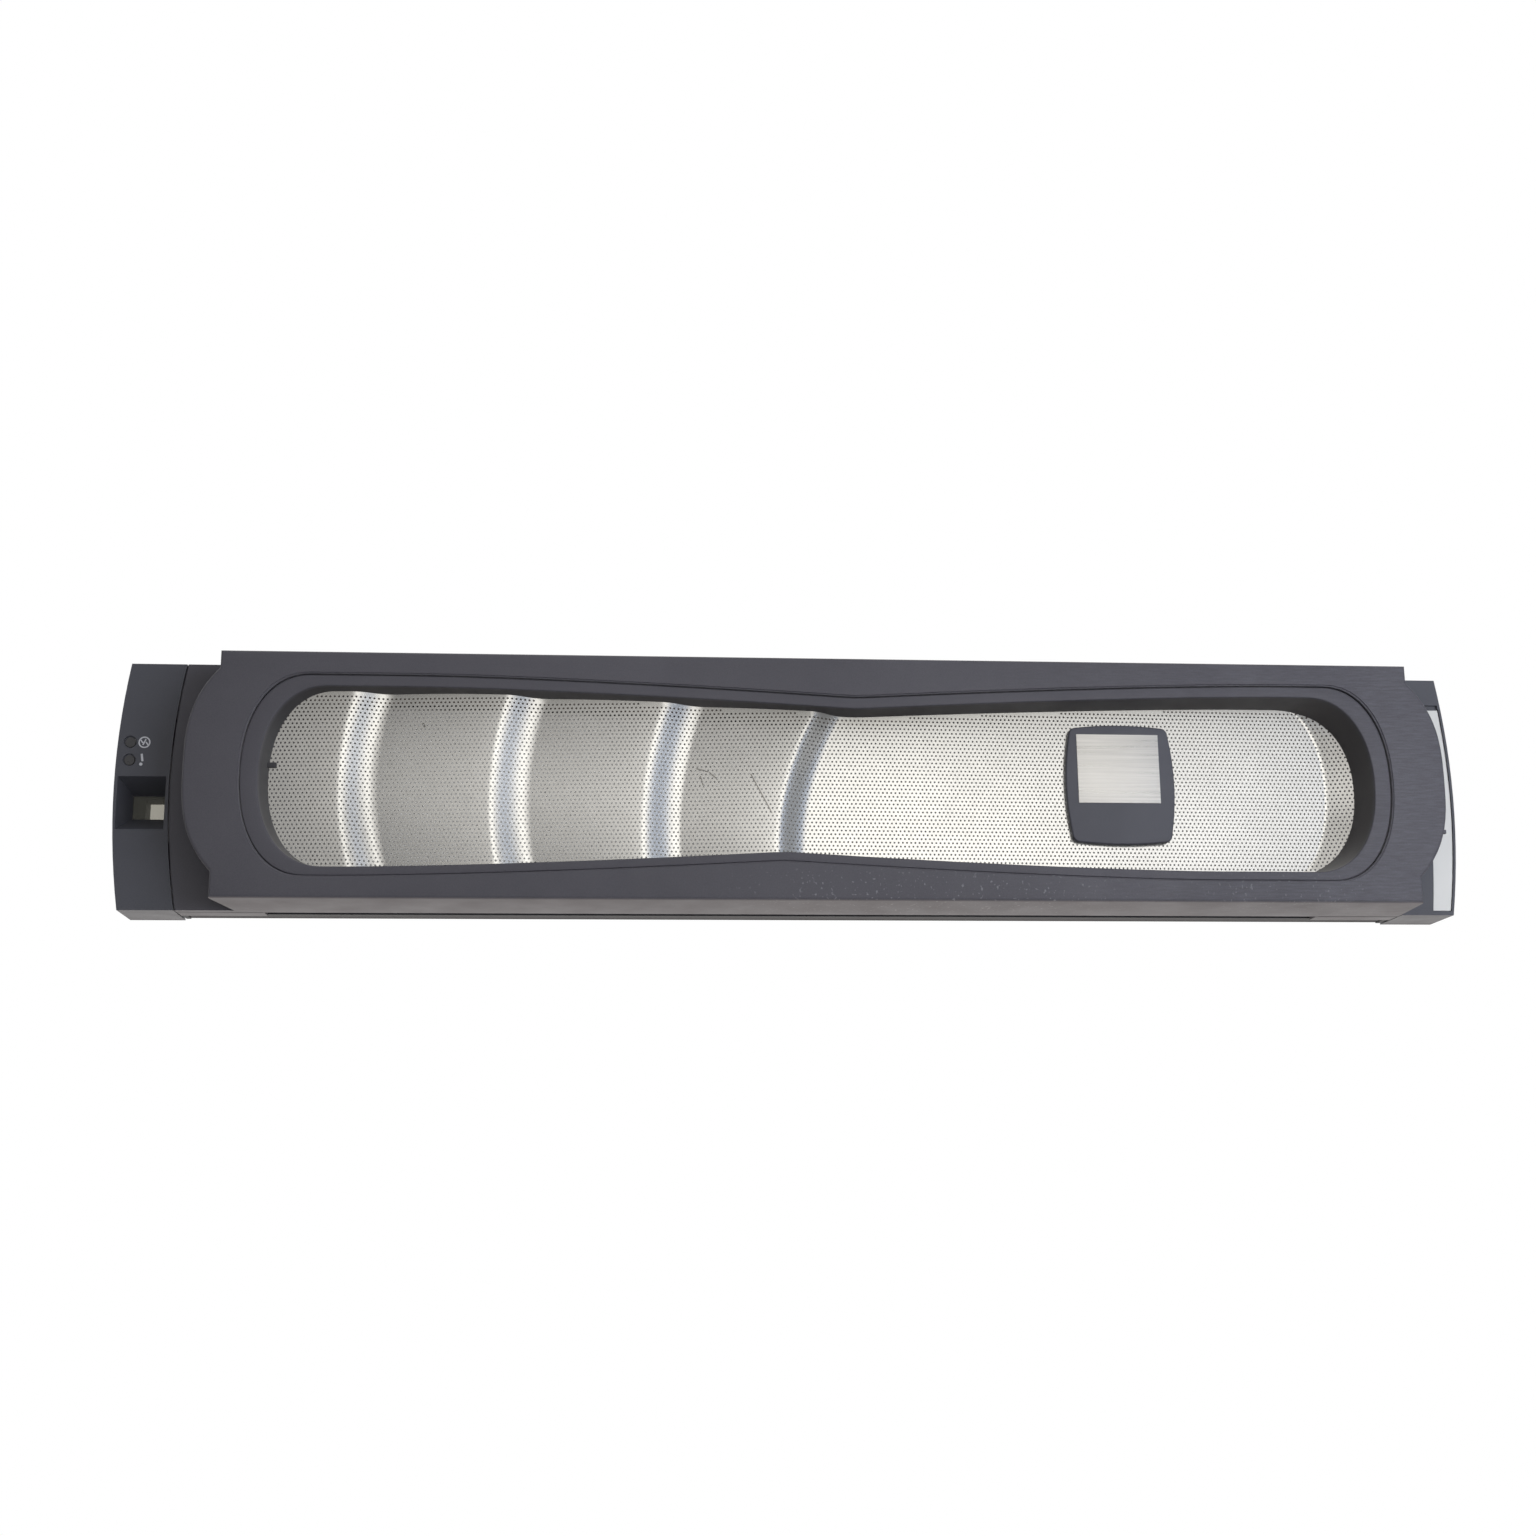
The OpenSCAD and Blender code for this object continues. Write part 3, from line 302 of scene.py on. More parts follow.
def bend(u, z):
    """How far the ripple that crosses mid height at u has moved sideways at height z."""
    t = (z - MID_Z) / HALF_OPEN
    knots = [(SHEET_L, 0.0, 0.0)] + [r[:3] for r in RIPPLES] + [(STRAIGHT_X, 0.0, 0.0)]
    lean, curve = np.zeros_like(u), np.zeros_like(u)
    for (x0, lean0, bow0), (x1, lean1, bow1) in zip(knots, knots[1:]):
        here = (u >= x0) & (u < x1)
        w = smooth((u - x0) / (x1 - x0))
        lean = np.where(here, lean0 + (lean1 - lean0) * w, lean)
        curve = np.where(here, bow0 + (bow1 - bow0) * w, curve)
    return lean * t + curve * t * t


def sheet_depth(x, z):
    """Depth of the sheet's front behind the shell's face, for arrays of x and z."""
    u = x
    for _ in range(4):
        u = x - bend(u, z)
    peak = 1 / (1 + STEP_SKEW)
    starts = [r[0] - peak * r[3] for r in RIPPLES]
    ends = [start + r[3] for start, r in zip(starts, RIPPLES)]
    depth = FLAT + FLAT_SLOPE * np.maximum(0, u - ends[-1])
    for k in range(len(RIPPLES) - 1, -1, -1):
        low = FLAT if k == len(RIPPLES) - 1 else FOOT
        before = starts[0] - FIRST_CLIMB if k == 0 else ends[k - 1]
        step = CREST + (low - CREST) * fall((u - starts[k]) / RIPPLES[k][3])
        rest = np.clip((starts[k] - u) / (starts[k] - before), 0, 1)
        climb = CREST + (FOOT - CREST) * rest ** CLIMB_POWER
        depth = np.where(u < ends[k], step, depth)
        depth = np.where(u < starts[k], climb, depth)
    t = np.abs(z - MID_Z) / HALF_OPEN
    beyond = u - SHEET_R + END_STEP_IN - END_STEP_BOW * np.sqrt(np.clip(1 - t * t, 0, None))
    climb = END_CLIMB * np.maximum(0, beyond - END_STEP_W / 2)
    return depth + END_STEP * smooth(beyond / END_STEP_W) - climb


# ---------------------------------------------------------------- materials
def rgb(r, g, b):
    """Linear colour of an sRGB colour given in 0 to 255."""
    return tuple(((c / 255 + 0.055) / 1.055) ** 2.4 if c > 10 else c / 255 / 12.92
                 for c in (r, g, b)) + (1.0,)


class Nodes:
    """Small helper that adds and wires shader nodes."""

    def __init__(self, name):
        self.material = bpy.data.materials.new(name)
        self.material.use_nodes = True
        self.tree = self.material.node_tree
        self.tree.nodes.clear()

    def add(self, kind, **values):
        node = self.tree.nodes.new("ShaderNode" + kind)
        for key, value in values.items():
            if hasattr(node, key):
                setattr(node, key, value)
            else:
                self.set(node, key.replace("_", " "), value)
        return node

    def set(self, node, socket, value):
        target = node.inputs[int(socket[1:])] if socket[0] == "#" else node.inputs[socket]
        if isinstance(value, bpy.types.NodeSocket):
            self.tree.links.new(value, target)
        else:
            target.default_value = value

    def coords(self, scale=(1, 1, 1)):
        source = self.add("TexCoord")
        mapping = self.add("Mapping")
        self.set(mapping, "Vector", source.outputs["Object"])
        self.set(mapping, "Scale", scale)
        return mapping.outputs["Vector"]

    def noise(self, vector, scale, detail=3.0, rough=0.55):
        node = self.add("TexNoise")
        for key, value in (("Vector", vector), ("Scale", scale), ("Detail", detail), ("Roughness", rough)):
            self.set(node, key, value)
        return node.outputs["Fac"]

    def ramp(self, factor, stops):
        node = self.add("ValToRGB")
        self.set(node, "Fac", factor)
        elements = node.color_ramp.elements
        while len(elements) < len(stops):
            elements.new(0.5)
        for element, (place, colour) in zip(elements, stops):
            element.position = place
            element.color = colour if len(colour) == 4 else tuple(colour) + (1.0,)
        return node.outputs["Color"]

    def grey(self, factor, low, high, a=0.0, b=1.0):
        """Maps a factor between low and high to values from a to b."""
        node = self.add("MapRange")
        for key, value in (("Value", factor), ("From Min", low), ("From Max", high),
                           ("To Min", a), ("To Max", b)):
            self.set(node, key, value)
        return node.outputs["Result"]

    def mix(self, factor, a, b):
        node = self.add("Mix", data_type="RGBA")
        self.set(node, "#0", factor)
        self.set(node, "#6", a)
        self.set(node, "#7", b)
        return node.outputs[2]

    def math(self, operation, a, b=0.0):
        node = self.add("Math", operation=operation)
        self.set(node, "#0", a)
        self.set(node, "#1", b)
        return node.outputs[0]

    def scratch(self, x, z, start, end, half):
        """One on a straight scratch between two points of the x-z plane in millimetres, zero off it."""
        length = math.dist(start, end)
        ux, uz = (end[0] - start[0]) / length, (end[1] - start[1]) / length
        dx = self.math("SUBTRACT", x, start[0] * MM)
        dz = self.math("SUBTRACT", z, start[1] * MM)
        along = self.math("ADD", self.math("MULTIPLY", dx, ux), self.math("MULTIPLY", dz, uz))
        across = self.math("SUBTRACT", self.math("MULTIPLY", dx, uz), self.math("MULTIPLY", dz, ux))
        middle = self.math("ABSOLUTE", self.math("SUBTRACT", along, length / 2 * MM))
        inside = self.grey(middle, (length / 2 - 0.4) * MM, length / 2 * MM, 1.0, 0.0)
        near = self.grey(self.math("ABSOLUTE", across), half * 0.6 * MM, half * MM, 1.0, 0.0)
        return self.math("MULTIPLY", inside, near)

    def bump(self, height, strength, distance):
        node = self.add("Bump")
        self.set(node, "Height", height)
        self.set(node, "Strength", strength)
        self.set(node, "Distance", distance)
        return node.outputs["Normal"]

    def shown_to(self, shader, *rays, both_sides=False, share=None):
        """The shader for these kinds of ray, on the front of the faces; nothing for the others."""
        path = self.add("LightPath")
        show = path.outputs[rays[0]]
        for kind in rays[1:]:
            show = self.math("MAXIMUM", show, path.outputs[kind])
        if not both_sides:
            front = self.math("SUBTRACT", 1.0, self.add("NewGeometry").outputs["Backfacing"])
            show = self.math("MULTIPLY", show, front)
        if share is not None:
            show = self.math("MULTIPLY", show, share)
        mix = self.add("MixShader")
        self.set(mix, "#0", show)
        self.set(mix, "#1", self.add("BsdfTransparent").outputs["BSDF"])
        self.set(mix, "#2", shader.outputs[0])
        output = self.add("OutputMaterial")
        self.set(output, "Surface", mix.outputs["Shader"])

    def surface(self, **values):
        shader = self.add("BsdfPrincipled")
        for key, value in values.items():
            self.set(shader, key.replace("_", " "), value)
        output = self.add("OutputMaterial")
        self.set(output, "Surface", shader.outputs["BSDF"])
        return self.material


DUST_X = 0.045                      # middle of the dusty stretch of the lower rail, in metres


def paint(name, dark, light, rough=0.5, speckle=0.5, streak_sheen=0.0, painted_wall_shade=False):
    """Satin dark paint with fine speckle, soft mottling and a little dust.

    The streak option adds fine streaks under a painted lighter sheen that grows towards the right end; the
    wall option paints shade on the surround's deep inner sides.
    """
    m = Nodes(name)
    at = m.coords()
    split = m.add("SeparateXYZ")
    m.set(split, "Vector", at)
    fine = m.noise(at, 2600.0, 2.0, 0.6)
    mottle = m.noise(at, 14.0, 4.0, 0.6)
    colour = m.mix(m.grey(mottle, 0.3, 0.7), dark, light)
    specks = m.grey(m.noise(at, 900.0, 1.0, 0.4), 0.66, 0.74, 0.0, speckle)
    from_dust = m.math("ABSOLUTE", m.math("SUBTRACT", split.outputs["X"], DUST_X))
    near_low = m.math("MULTIPLY", m.grey(split.outputs["Z"], 0.008, 0.014, 1.0, 0.0),
                      m.grey(from_dust, 0.04, 0.08, 1.0, 0.0))
    dust_zone = m.math("MAXIMUM", m.grey(m.noise(at, 9.0, 3.0, 0.5), 0.56, 0.76), near_low)
    specks = m.math("MULTIPLY", specks, dust_zone)
    colour = m.mix(specks, colour, rgb(150, 150, 155))
    if streak_sheen:
        # Fine streaks in the paint under a painted lighter bluish sheen that grows towards the right end
        sheen_zone = m.grey(split.outputs["X"], 0.04, 0.2, 0.0, streak_sheen)
        streak = m.noise(m.coords((160.0, 1500.0, 1500.0)), 1.0, 3.0, 0.6)
        sheen_share = m.math("MULTIPLY", m.grey(streak, 0.4, 0.7), sheen_zone)
        colour = m.mix(sheen_share, colour, rgb(150, 152, 166))
    if painted_wall_shade:
        # Painted shade on the surround's deep inner sides, darkest at the left end
        side = m.mix(m.grey(split.outputs["X"], -0.185, -0.155), rgb(54, 53, 56), rgb(75, 72, 73))
        colour = m.mix(m.grey(split.outputs["Y"], -0.0208, -0.0190), colour, side)
    grain = m.mix(m.grey(fine, 0.3, 0.7, 0.0, 0.22), colour, rgb(40, 40, 44))
    roughness = m.grey(m.noise(at, 60.0, 3.0), 0.3, 0.7, rough - 0.06, rough + 0.06)
    normal = m.bump(fine, 0.18, 0.00012)
    return m.surface(Base_Color=grain, Roughness=roughness, Normal=normal)


SCRATCHES = (((-38.2, 49.3), (-33.6, 47.9), 0.26), ((-33.6, 47.9), (-30.4, 45.0), 0.26),
             ((-36.7, 46.8), (-35.3, 42.1), 0.22), ((-19.1, 47.3), (-11.5, 32.6), 0.24),
             ((-133.9, 64.6), (-132.9, 62.8), 0.45))


def sheet_metal():
    m = Nodes("perforated_sheet")
    at = m.coords()
    cloud = m.noise(at, 22.0, 4.0, 0.6)
    colour = m.mix(m.grey(cloud, 0.3, 0.7), rgb(232, 230, 225), rgb(242, 240, 235))
    split = m.add("SeparateXYZ")
    m.set(split, "Vector", at)
    for start, end, half in SCRATCHES:
        mark = m.scratch(split.outputs["X"], split.outputs["Z"], start, end, half)
        colour = m.mix(m.math("MULTIPLY", mark, 0.8), colour, rgb(118, 114, 106))
    # Painted shade under the upper rim, as strong as the rim_shade attribute says
    colour = m.mix(m.add("Attribute", attribute_name="rim_shade").outputs["Fac"], colour, rgb(66, 64, 60))
    rough = m.grey(m.noise(at, 300.0, 2.0), 0.3, 0.7, 0.17, 0.21)
    normal = m.bump(m.noise(at, 1800.0, 2.0), 0.05, 0.0001)
    return m.surface(Base_Color=colour, Metallic=0.85, Roughness=rough, Normal=normal)


def brushed(name, base, along=0, rough=0.3):
    """Metal brushed along one axis."""
    m = Nodes(name)
    scale = [1400.0, 1400.0, 1400.0]
    scale[along] = 22.0
    grain = m.noise(m.coords(tuple(scale)), 1.0, 4.0, 0.65)
    cloud = m.noise(m.coords(), 60.0, 3.0)
    dark = tuple(c * 0.72 for c in base[:3]) + (1.0,)
    colour = m.mix(m.grey(grain, 0.3, 0.7), dark, base)
    colour = m.mix(m.grey(cloud, 0.35, 0.7, 0.0, 0.2), colour, dark)
    roughness = m.grey(grain, 0.3, 0.7, rough - 0.05, rough + 0.1)
    normal = m.bump(grain, 0.12, 0.00006)
    return m.surface(Base_Color=colour, Metallic=0.8, Roughness=roughness, Normal=normal)


def plastic(name, low, high, rough=0.55, grain=1500.0, depth=0.2):
    """Moulded plastic with a fine spark-eroded grain."""
    m = Nodes(name)
    at = m.coords()
    fine = m.noise(at, grain, 2.0, 0.6)
    colour = m.mix(m.grey(m.noise(at, 35.0, 3.0), 0.3, 0.7), low, high)
    roughness = m.grey(fine, 0.3, 0.7, rough - 0.05, rough + 0.05)
    return m.surface(Base_Color=colour, Roughness=roughness, Normal=m.bump(fine, depth, 0.0001))


def clear_plastic(name, tint, see_through):
    """Clear tinted plastic: mostly glossy tint, partly seen through."""
    m = Nodes(name)
    at = m.coords()
    cloud = m.noise(at, 200.0, 2.0)
    colour = m.mix(m.grey(cloud, 0.3, 0.7), tuple(c * 0.9 for c in tint[:3]) + (1.0,), tint)
    body = m.add("BsdfPrincipled")
    m.set(body, "Base Color", colour)
    m.set(body, "Roughness", 0.12)
    clear = m.add("BsdfTransparent")
    m.set(clear, "Color", m.mix(m.grey(cloud, 0.3, 0.7), (0.86, 0.84, 0.78, 1), (0.9, 0.88, 0.82, 1)))
    mix = m.add("MixShader")
    m.set(mix, "#0", see_through)
    m.set(mix, "#1", body.outputs["BSDF"])
    m.set(mix, "#2", clear.outputs["BSDF"])
    output = m.add("OutputMaterial")
    m.set(output, "Surface", mix.outputs["Shader"])
    return m.material


SHELL = paint("shell_paint", rgb(79, 77, 83), rgb(87, 85, 91), 0.5, streak_sheen=0.13)
SURROUND = paint("surround_paint", rgb(77, 75, 81), rgb(85, 83, 89), 0.5, 0.2, streak_sheen=0.08, painted_wall_shade=True)
CAP = paint("cap_paint", rgb(77, 78, 84), rgb(84, 84, 91), 0.48, 0.2)
SHEET = sheet_metal()
PLATE = brushed("badge_metal", rgb(238, 235, 230), 0, 0.3)
STEEL = brushed("screw_steel", rgb(190, 190, 192), 1, 0.3)
BADGE_BODY = plastic("badge_moulding", rgb(72, 72, 79), rgb(79, 79, 86), 0.45)
BLACK = plastic("black_moulding", rgb(38, 38, 41), rgb(44, 44, 47), 0.6)
CARRIER = plastic("carrier_moulding", rgb(52, 52, 55), rgb(58, 58, 61), 0.62)
NYLON = plastic("socket_nylon", rgb(214, 209, 196), rgb(224, 219, 207), 0.45, 900.0, 0.1)
TAPE = plastic("foam_tape", rgb(44, 44, 44), rgb(52, 52, 52), 0.85, 600.0, 0.5)
LABEL = plastic("label_film", rgb(213, 212, 209), rgb(219, 218, 215), 0.4, 700.0, 0.05)
MARK = plastic("symbol_print", rgb(196, 196, 200), rgb(208, 208, 212), 0.5, 700.0, 0.05)
LENS = clear_plastic("smoked_lens", rgb(116, 116, 107), 0.6)
PIPE = plastic("pipe_plastic", rgb(66, 65, 66), rgb(72, 71, 71), 0.3, 500.0, 0.03)

for node, material in (
        ("grille_retainer", BLACK), ("retainer_screws", STEEL), ("badge_tape", TAPE),
        ("end_cap_left", CAP), ("end_cap_right", CAP), ("label_strip", LABEL), ("display_lens", LENS),
        ("display_shroud", BLACK), ("light_pipe_power", PIPE), ("light_pipe_attention", PIPE),
        ("light_pipe_holder", BLACK), ("holder_screw", STEEL), ("rear_carrier", CARRIER),
        ("shell_screws", STEEL), ("cap_screws", STEEL), ("stud_socket_upper_left", NYLON),
        ("stud_socket_lower_left", NYLON), ("stud_socket_upper_right", NYLON),
        ("stud_socket_lower_right", NYLON)):
    NODES[node].data.materials.clear()
    NODES[node].data.materials.append(material)


# ---------------------------------------------------------------- front shell
def quarter(n):
    """Steps of a quarter turn, as (inset share, depth share)."""
    return [(1 - math.sin(math.pi / 2 * i / n), 1 - math.cos(math.pi / 2 * i / n)) for i in range(n + 1)]


# Small moulding burr on the right shoulder's edge
BURR_LOW, BURR_HIGH = (226.4, FACE_Y + 0.4, 25.8), (228.35, FACE_Y + 1.9, 27.3)


def make_shell():
    lip = 0.5
    rings = [bone_ring(FLANGE_Y, 0, 0)]
    rings += [bone_ring(FACE_Y + lip * (1 - b), -lip * (1 - a), -lip * (1 - a)) for a, b in quarter(4)]
    rings += [hull_ring(FACE_Y + EDGE_R * b, EDGE_R * a) for a, b in quarter(5)]
    rings.append(hull_ring(0, 0))
    flat = rings[-1]
    rings.append(wing_ring(0, 0.3, flat))
    rings.append(wing_ring(0.3, 0, flat))
    rings.append(wing_ring(BODY_BACK, 0, flat))
    inner = hull_ring(WING_T, WALL, clamp=True)
    rings.append(wing_ring(BODY_BACK, WALL, inner))
    rings.append(wing_ring(WING_T, WALL, inner))
    rings.append(inner)
    rings.append(hull_ring(FLANGE_Y, WALL, clamp=True))
    parts = [loft(rings, close=True)]
    for side in (-1, 1):
        for low in (0.0, TOTAL_H - TONGUE_T):
            x = sorted((side * SEAM_X, side * (SEAM_X - TONGUE_LEN)))
            parts.append(soft_box((x[0], BODY_BACK - 1, low), (x[1], TONGUE_BACK, low + TONGUE_T), 0.3))
    parts.append(soft_box(BURR_LOW, BURR_HIGH, 0.3))
    return join_parts(parts)


shell = link("shell_moulding", mesh_from("shell_moulding", *make_shell()))
finish_piece(shell, "shell_paint", SHELL, "front_shell")

# Dark strips of painted shadow where the slots between the end caps and the carrier's lips lie in shade
STRIP_IN, STRIP_OUT, STRIP_BACK, STRIP_H = 216.2, 217.9, 20.8, 1.9
shadow_boxes = [soft_box((min(side * STRIP_OUT, side * STRIP_IN), TONGUE_BACK - 0.4, low),
                   (max(side * STRIP_OUT, side * STRIP_IN), STRIP_BACK, low + STRIP_H), 0.2)
          for side in (-1, 1) for low in (0.3, TOTAL_H - 0.3 - STRIP_H)]
shadow_strip_piece = link("shadow_strips", mesh_from("shadow_strips", *join_parts(shadow_boxes)))
finish_piece(shadow_strip_piece, "carrier_moulding", BLACK)


# ---------------------------------------------------------------- grille surround
def make_surround():
    lip = 0.4

    def edge(y, g):
        """Outer edge of the band; its seam is wider above and on the right."""
        ring = bone_ring(y, SEAM_GAP + g, SEAM_GAP + g, SEAM_LOW + g)
        return [(x - SEAM_SHIFT, y, z) for x, _, z in ring]

    rings = [edge(FLANGE_Y, 0)]
    rings += [edge(BAND_Y + lip * (1 - math.sin(t)), lip * (1 - math.cos(t)))
              for t in (0, 0.4, 0.8, 1.2, math.pi / 2)]
    for i in range(7):
        t = math.pi / 2 * i / 6
        g = BAND_R * (1 - math.sin(t))
        y = BAND_Y + BAND_R * (1 - math.cos(t))
        rings.append(bone_ring(y, BAND_END - g, BAND_TOP - g, BAND_LOW - g))
    rings.append(bone_ring(SLEEVE_BACK, BAND_END + END_TAPER, BAND_TOP + SLEEVE_TAPER,
                           BAND_LOW + SLEEVE_TAPER, RIGHT_TAPER, RIGHT_ROUNDER))
    for y in (SLEEVE_BACK, FLANGE_Y + FLANGE_T):
        rings.append(bone_ring(y, BAND_END - SLEEVE_T, BAND_TOP - SLEEVE_T, BAND_LOW - SLEEVE_T))
    rings.append(bone_ring(FLANGE_Y + FLANGE_T, -FLANGE_W, -FLANGE_W))
    rings.append(bone_ring(FLANGE_Y + 0.02, -FLANGE_W, -FLANGE_W))
    rings.append(edge(FLANGE_Y + 0.02, -0.01))
    parts = [loft(rings, close=True)]
    # Locating rib of the left end
    x = OPEN_L + BAND_END
    depth = float(sheet_depth(np.array([x + 4.0]), np.array([RIB_Z]))[0])
    back = FACE_Y + depth - 0.1
    parts.append(soft_box((x - 1, back - RIB_T, RIB_Z - RIB_W / 2),
                          (x + RIB_LEN, back, RIB_Z + RIB_W / 2), 0.3))
    return join_parts(parts)


surround = link("surround_moulding", mesh_from("surround_moulding", *make_surround()))
finish_piece(surround, "surround_paint", SURROUND, "grille_surround")
surround.visible_glossy = False


# ---------------------------------------------------------------- perforated sheet
def rim_distance(x, z, rim):
    """Signed distance to the closed rim (positive inside) and the nearest point on it."""
    a, b = rim, np.roll(rim, -1, axis=0)
    ab = b - a
    length = (ab ** 2).sum(1)
    dist = np.empty(len(x))
    near = np.empty((len(x), 2))
    inside = np.empty(len(x), bool)
    for start in range(0, len(x), 4000):
        p = np.stack([x[start:start + 4000], z[start:start + 4000]], 1)[:, None, :]
        t = np.clip(((p - a) * ab).sum(2) / length, 0, 1)
        foot = a + t[..., None] * ab
        d = np.sqrt(((p - foot) ** 2).sum(2))
        best = d.argmin(1)
        rows = np.arange(len(best))
        dist[start:start + 4000] = d[rows, best]
        near[start:start + 4000] = foot[rows, best]
        up = (a[:, 1] > p[..., 1]) != (b[:, 1] > p[..., 1])
        with np.errstate(divide="ignore", invalid="ignore"):
            cross = a[:, 0] + (p[..., 1] - a[:, 1]) * ab[:, 0] / ab[:, 1]
        inside[start:start + 4000] = (up & (p[..., 0] < cross)).sum(1) % 2 == 1
    return np.where(inside, dist, -dist), near


def make_sheet():
    """Sheet panels with staggered six-sided holes: list of (points, quads, front quad count)."""
    ring = bone_ring(0, BAND_END + SHEET_FIT, BAND_TOP + SHEET_FIT, BAND_LOW + SHEET_FIT)
    ring = np.array(ring)[:, [0, 2]]
    rim = ring[np.abs(ring - np.roll(ring, 1, axis=0)).sum(1) > 1e-6]
    h1 = (ROW_PITCH ** 2 + HOLE_PITCH ** 2 / 4) / (2 * ROW_PITCH)
    h2 = ROW_PITCH - h1
    x0, z0 = rim[:, 0].min() - 1, rim[:, 1].min() - 1
    columns = int((rim[:, 0].max() + 1 - x0) / (HOLE_PITCH / 2)) + 3
    rows = int((rim[:, 1].max() + 1 - z0) / ROW_PITCH) + 3
    # Corner points of the hexagonal cells, one line of them below each row
    line, column = np.meshgrid(np.arange(rows + 1), np.arange(columns + 1), indexing="ij")
    lift = np.where((column - line) % 2 == 1, h1, h2)
    px = x0 + column * HOLE_PITCH / 2
    pz = z0 + (line - 1) * ROW_PITCH + lift
    flat = px.ravel(), pz.ravel()
    dist, near = rim_distance(*flat, rim)
    # Cells centred where column and row agree
    cr, cc = np.meshgrid(np.arange(rows), np.arange(1, columns), indexing="ij")
    keep = (cc - cr) % 2 == 0
    cr, cc = cr[keep], cc[keep]
    cx, cz = x0 + cc * HOLE_PITCH / 2, z0 + cr * ROW_PITCH
    cdist, _ = rim_distance(cx, cz, rim)
    used = cdist > CELL_EDGE
    cr, cc, cx, cz, cdist = cr[used], cc[used], cx[used], cz[used], cdist[used]
    width = columns + 1

    def corner(up, side):
        return (cr + up) * width + cc + side
    # Counter-clockwise as seen from behind: right low, right up, top, left up, left low, bottom
    around = ((0, 1), (1, 1), (1, 0), (1, -1), (0, -1), (0, 0))
    hexes = np.stack([corner(*spot) for spot in around], 1)
    count = np.bincount(hexes.ravel(), minlength=flat[0].size)
    border = (count > 0) & (count < 3)
    x = np.where(border, near[:, 0], flat[0])
    z = np.where(border, near[:, 1], flat[1])
    holed = (dist[hexes].min(1) > CORNER_EDGE) & (cdist > HOLE_EDGE)

    # Hole corners point at the cell's corners
    angle = np.array([-30, 30, 90, 150, 210, 270]) * math.pi / 180
    hole_x = cx[holed, None] + HOLE_R * np.cos(angle)
    hole_z = cz[holed, None] + HOLE_R * np.sin(angle)
    all_x = np.concatenate([x, hole_x.ravel()])
    all_z = np.concatenate([z, hole_z.ravel()])
    y = FACE_Y + sheet_depth(all_x, all_z)
    front = np.stack([all_x, y, all_z], 1)
    n = len(front)
    # Points of the two skins, then the same again for the walls, so that each shades on its own
    points = np.tile(np.concatenate([front, front + [0, SHEET_T, 0]]) * MM, (2, 1))

    hole_id = x.size + np.arange(holed.sum() * 6).reshape(-1, 6)
    panels = []
    edge_seen = {}
    for cell in hexes:
        for i in range(6):
            key = (min(cell[i], cell[(i + 1) % 6]), max(cell[i], cell[(i + 1) % 6]))
            edge_seen[key] = edge_seen.get(key, 0) + 1
    for lo, hi in zip(PANEL_EDGES, PANEL_EDGES[1:]):
        here = (cx >= lo) & (cx < hi)
        with_hole = here & holed
        outer = hexes[with_hole]
        inner = hole_id[here[holed]]
        nxt = [1, 2, 3, 4, 5, 0]
        front_quads = np.stack([outer, outer[:, nxt], inner[:, nxt], inner], 2).reshape(-1, 4)
        painted_wall_shade = np.stack([inner, inner[:, nxt], inner[:, nxt] + n, inner + n], 2).reshape(-1, 4)
        plain = hexes[here & ~holed]
        blanks = np.concatenate([plain[:, [0, 1, 2, 3]], plain[:, [3, 4, 5, 0]]])
        skin = np.concatenate([front_quads, blanks])
        back = skin[:, ::-1] + n
        rim_quads = []
        for cell in hexes[here]:
            for i in range(6):
                a, b = cell[i], cell[(i + 1) % 6]
                if edge_seen[(min(a, b), max(a, b))] == 1:
                    rim_quads.append((b, a, a + n, b + n))
        rim_quads = np.array(rim_quads, int).reshape(-1, 4)
        quads = np.concatenate([skin, back, painted_wall_shade + 2 * n, rim_quads + 2 * n])
        ids, packed = np.unique(quads, return_inverse=True)
        panels.append((points[ids], packed.reshape(-1, 4), len(skin) * 2))
    return panels


# Painted shade on the sheet under the upper rim, strongest below the waist
RIM_SHADE, RIM_SHADE_WAIST, RIM_SHADE_REACH, RIM_SHADE_DEPTH = 0.22, 0.62, 48.0, 8.0
TOP_X = np.linspace(OPEN_L, OPEN_R, 200)
TOP_Z = np.array([bone_top(x, BAND_TOP) for x in TOP_X])


def sheet_panel(name, points, quads, skin_count):
    mesh = bpy.data.meshes.new(name)
    mesh.vertices.add(len(points))
    mesh.vertices.foreach_set("co", points.ravel())
    mesh.loops.add(quads.size)
    mesh.loops.foreach_set("vertex_index", quads.ravel())
    mesh.polygons.add(len(quads))
    mesh.polygons.foreach_set("loop_start", np.arange(0, quads.size, 4))
    smooth_flags = np.zeros(len(quads), bool)
    smooth_flags[:skin_count] = True
    mesh.update(calc_edges=True)
    mesh.polygons.foreach_set("use_smooth", smooth_flags)
    x, z = points[:, 0] / MM, points[:, 2] / MM
    top = np.interp(x, TOP_X, TOP_Z)
    waist = np.exp(-((x - WAIST_TOP_X) / RIM_SHADE_REACH) ** 2)
    shade = RIM_SHADE + (RIM_SHADE_WAIST - RIM_SHADE) * waist
    shade *= np.exp(-np.maximum(0, top - z) / RIM_SHADE_DEPTH)
    attribute = mesh.attributes.new("rim_shade", "FLOAT", "POINT")
    attribute.data.foreach_set("value", shade.astype(np.float32))
    mesh.validate()
    return link(name, mesh)


for index, panel in enumerate(make_sheet()):
    piece = sheet_panel(f"sheet_panel_{index + 1}", *panel)
    finish_piece(piece, "perforated_sheet", SHEET, *(("grille",) if index == 0 else ()))


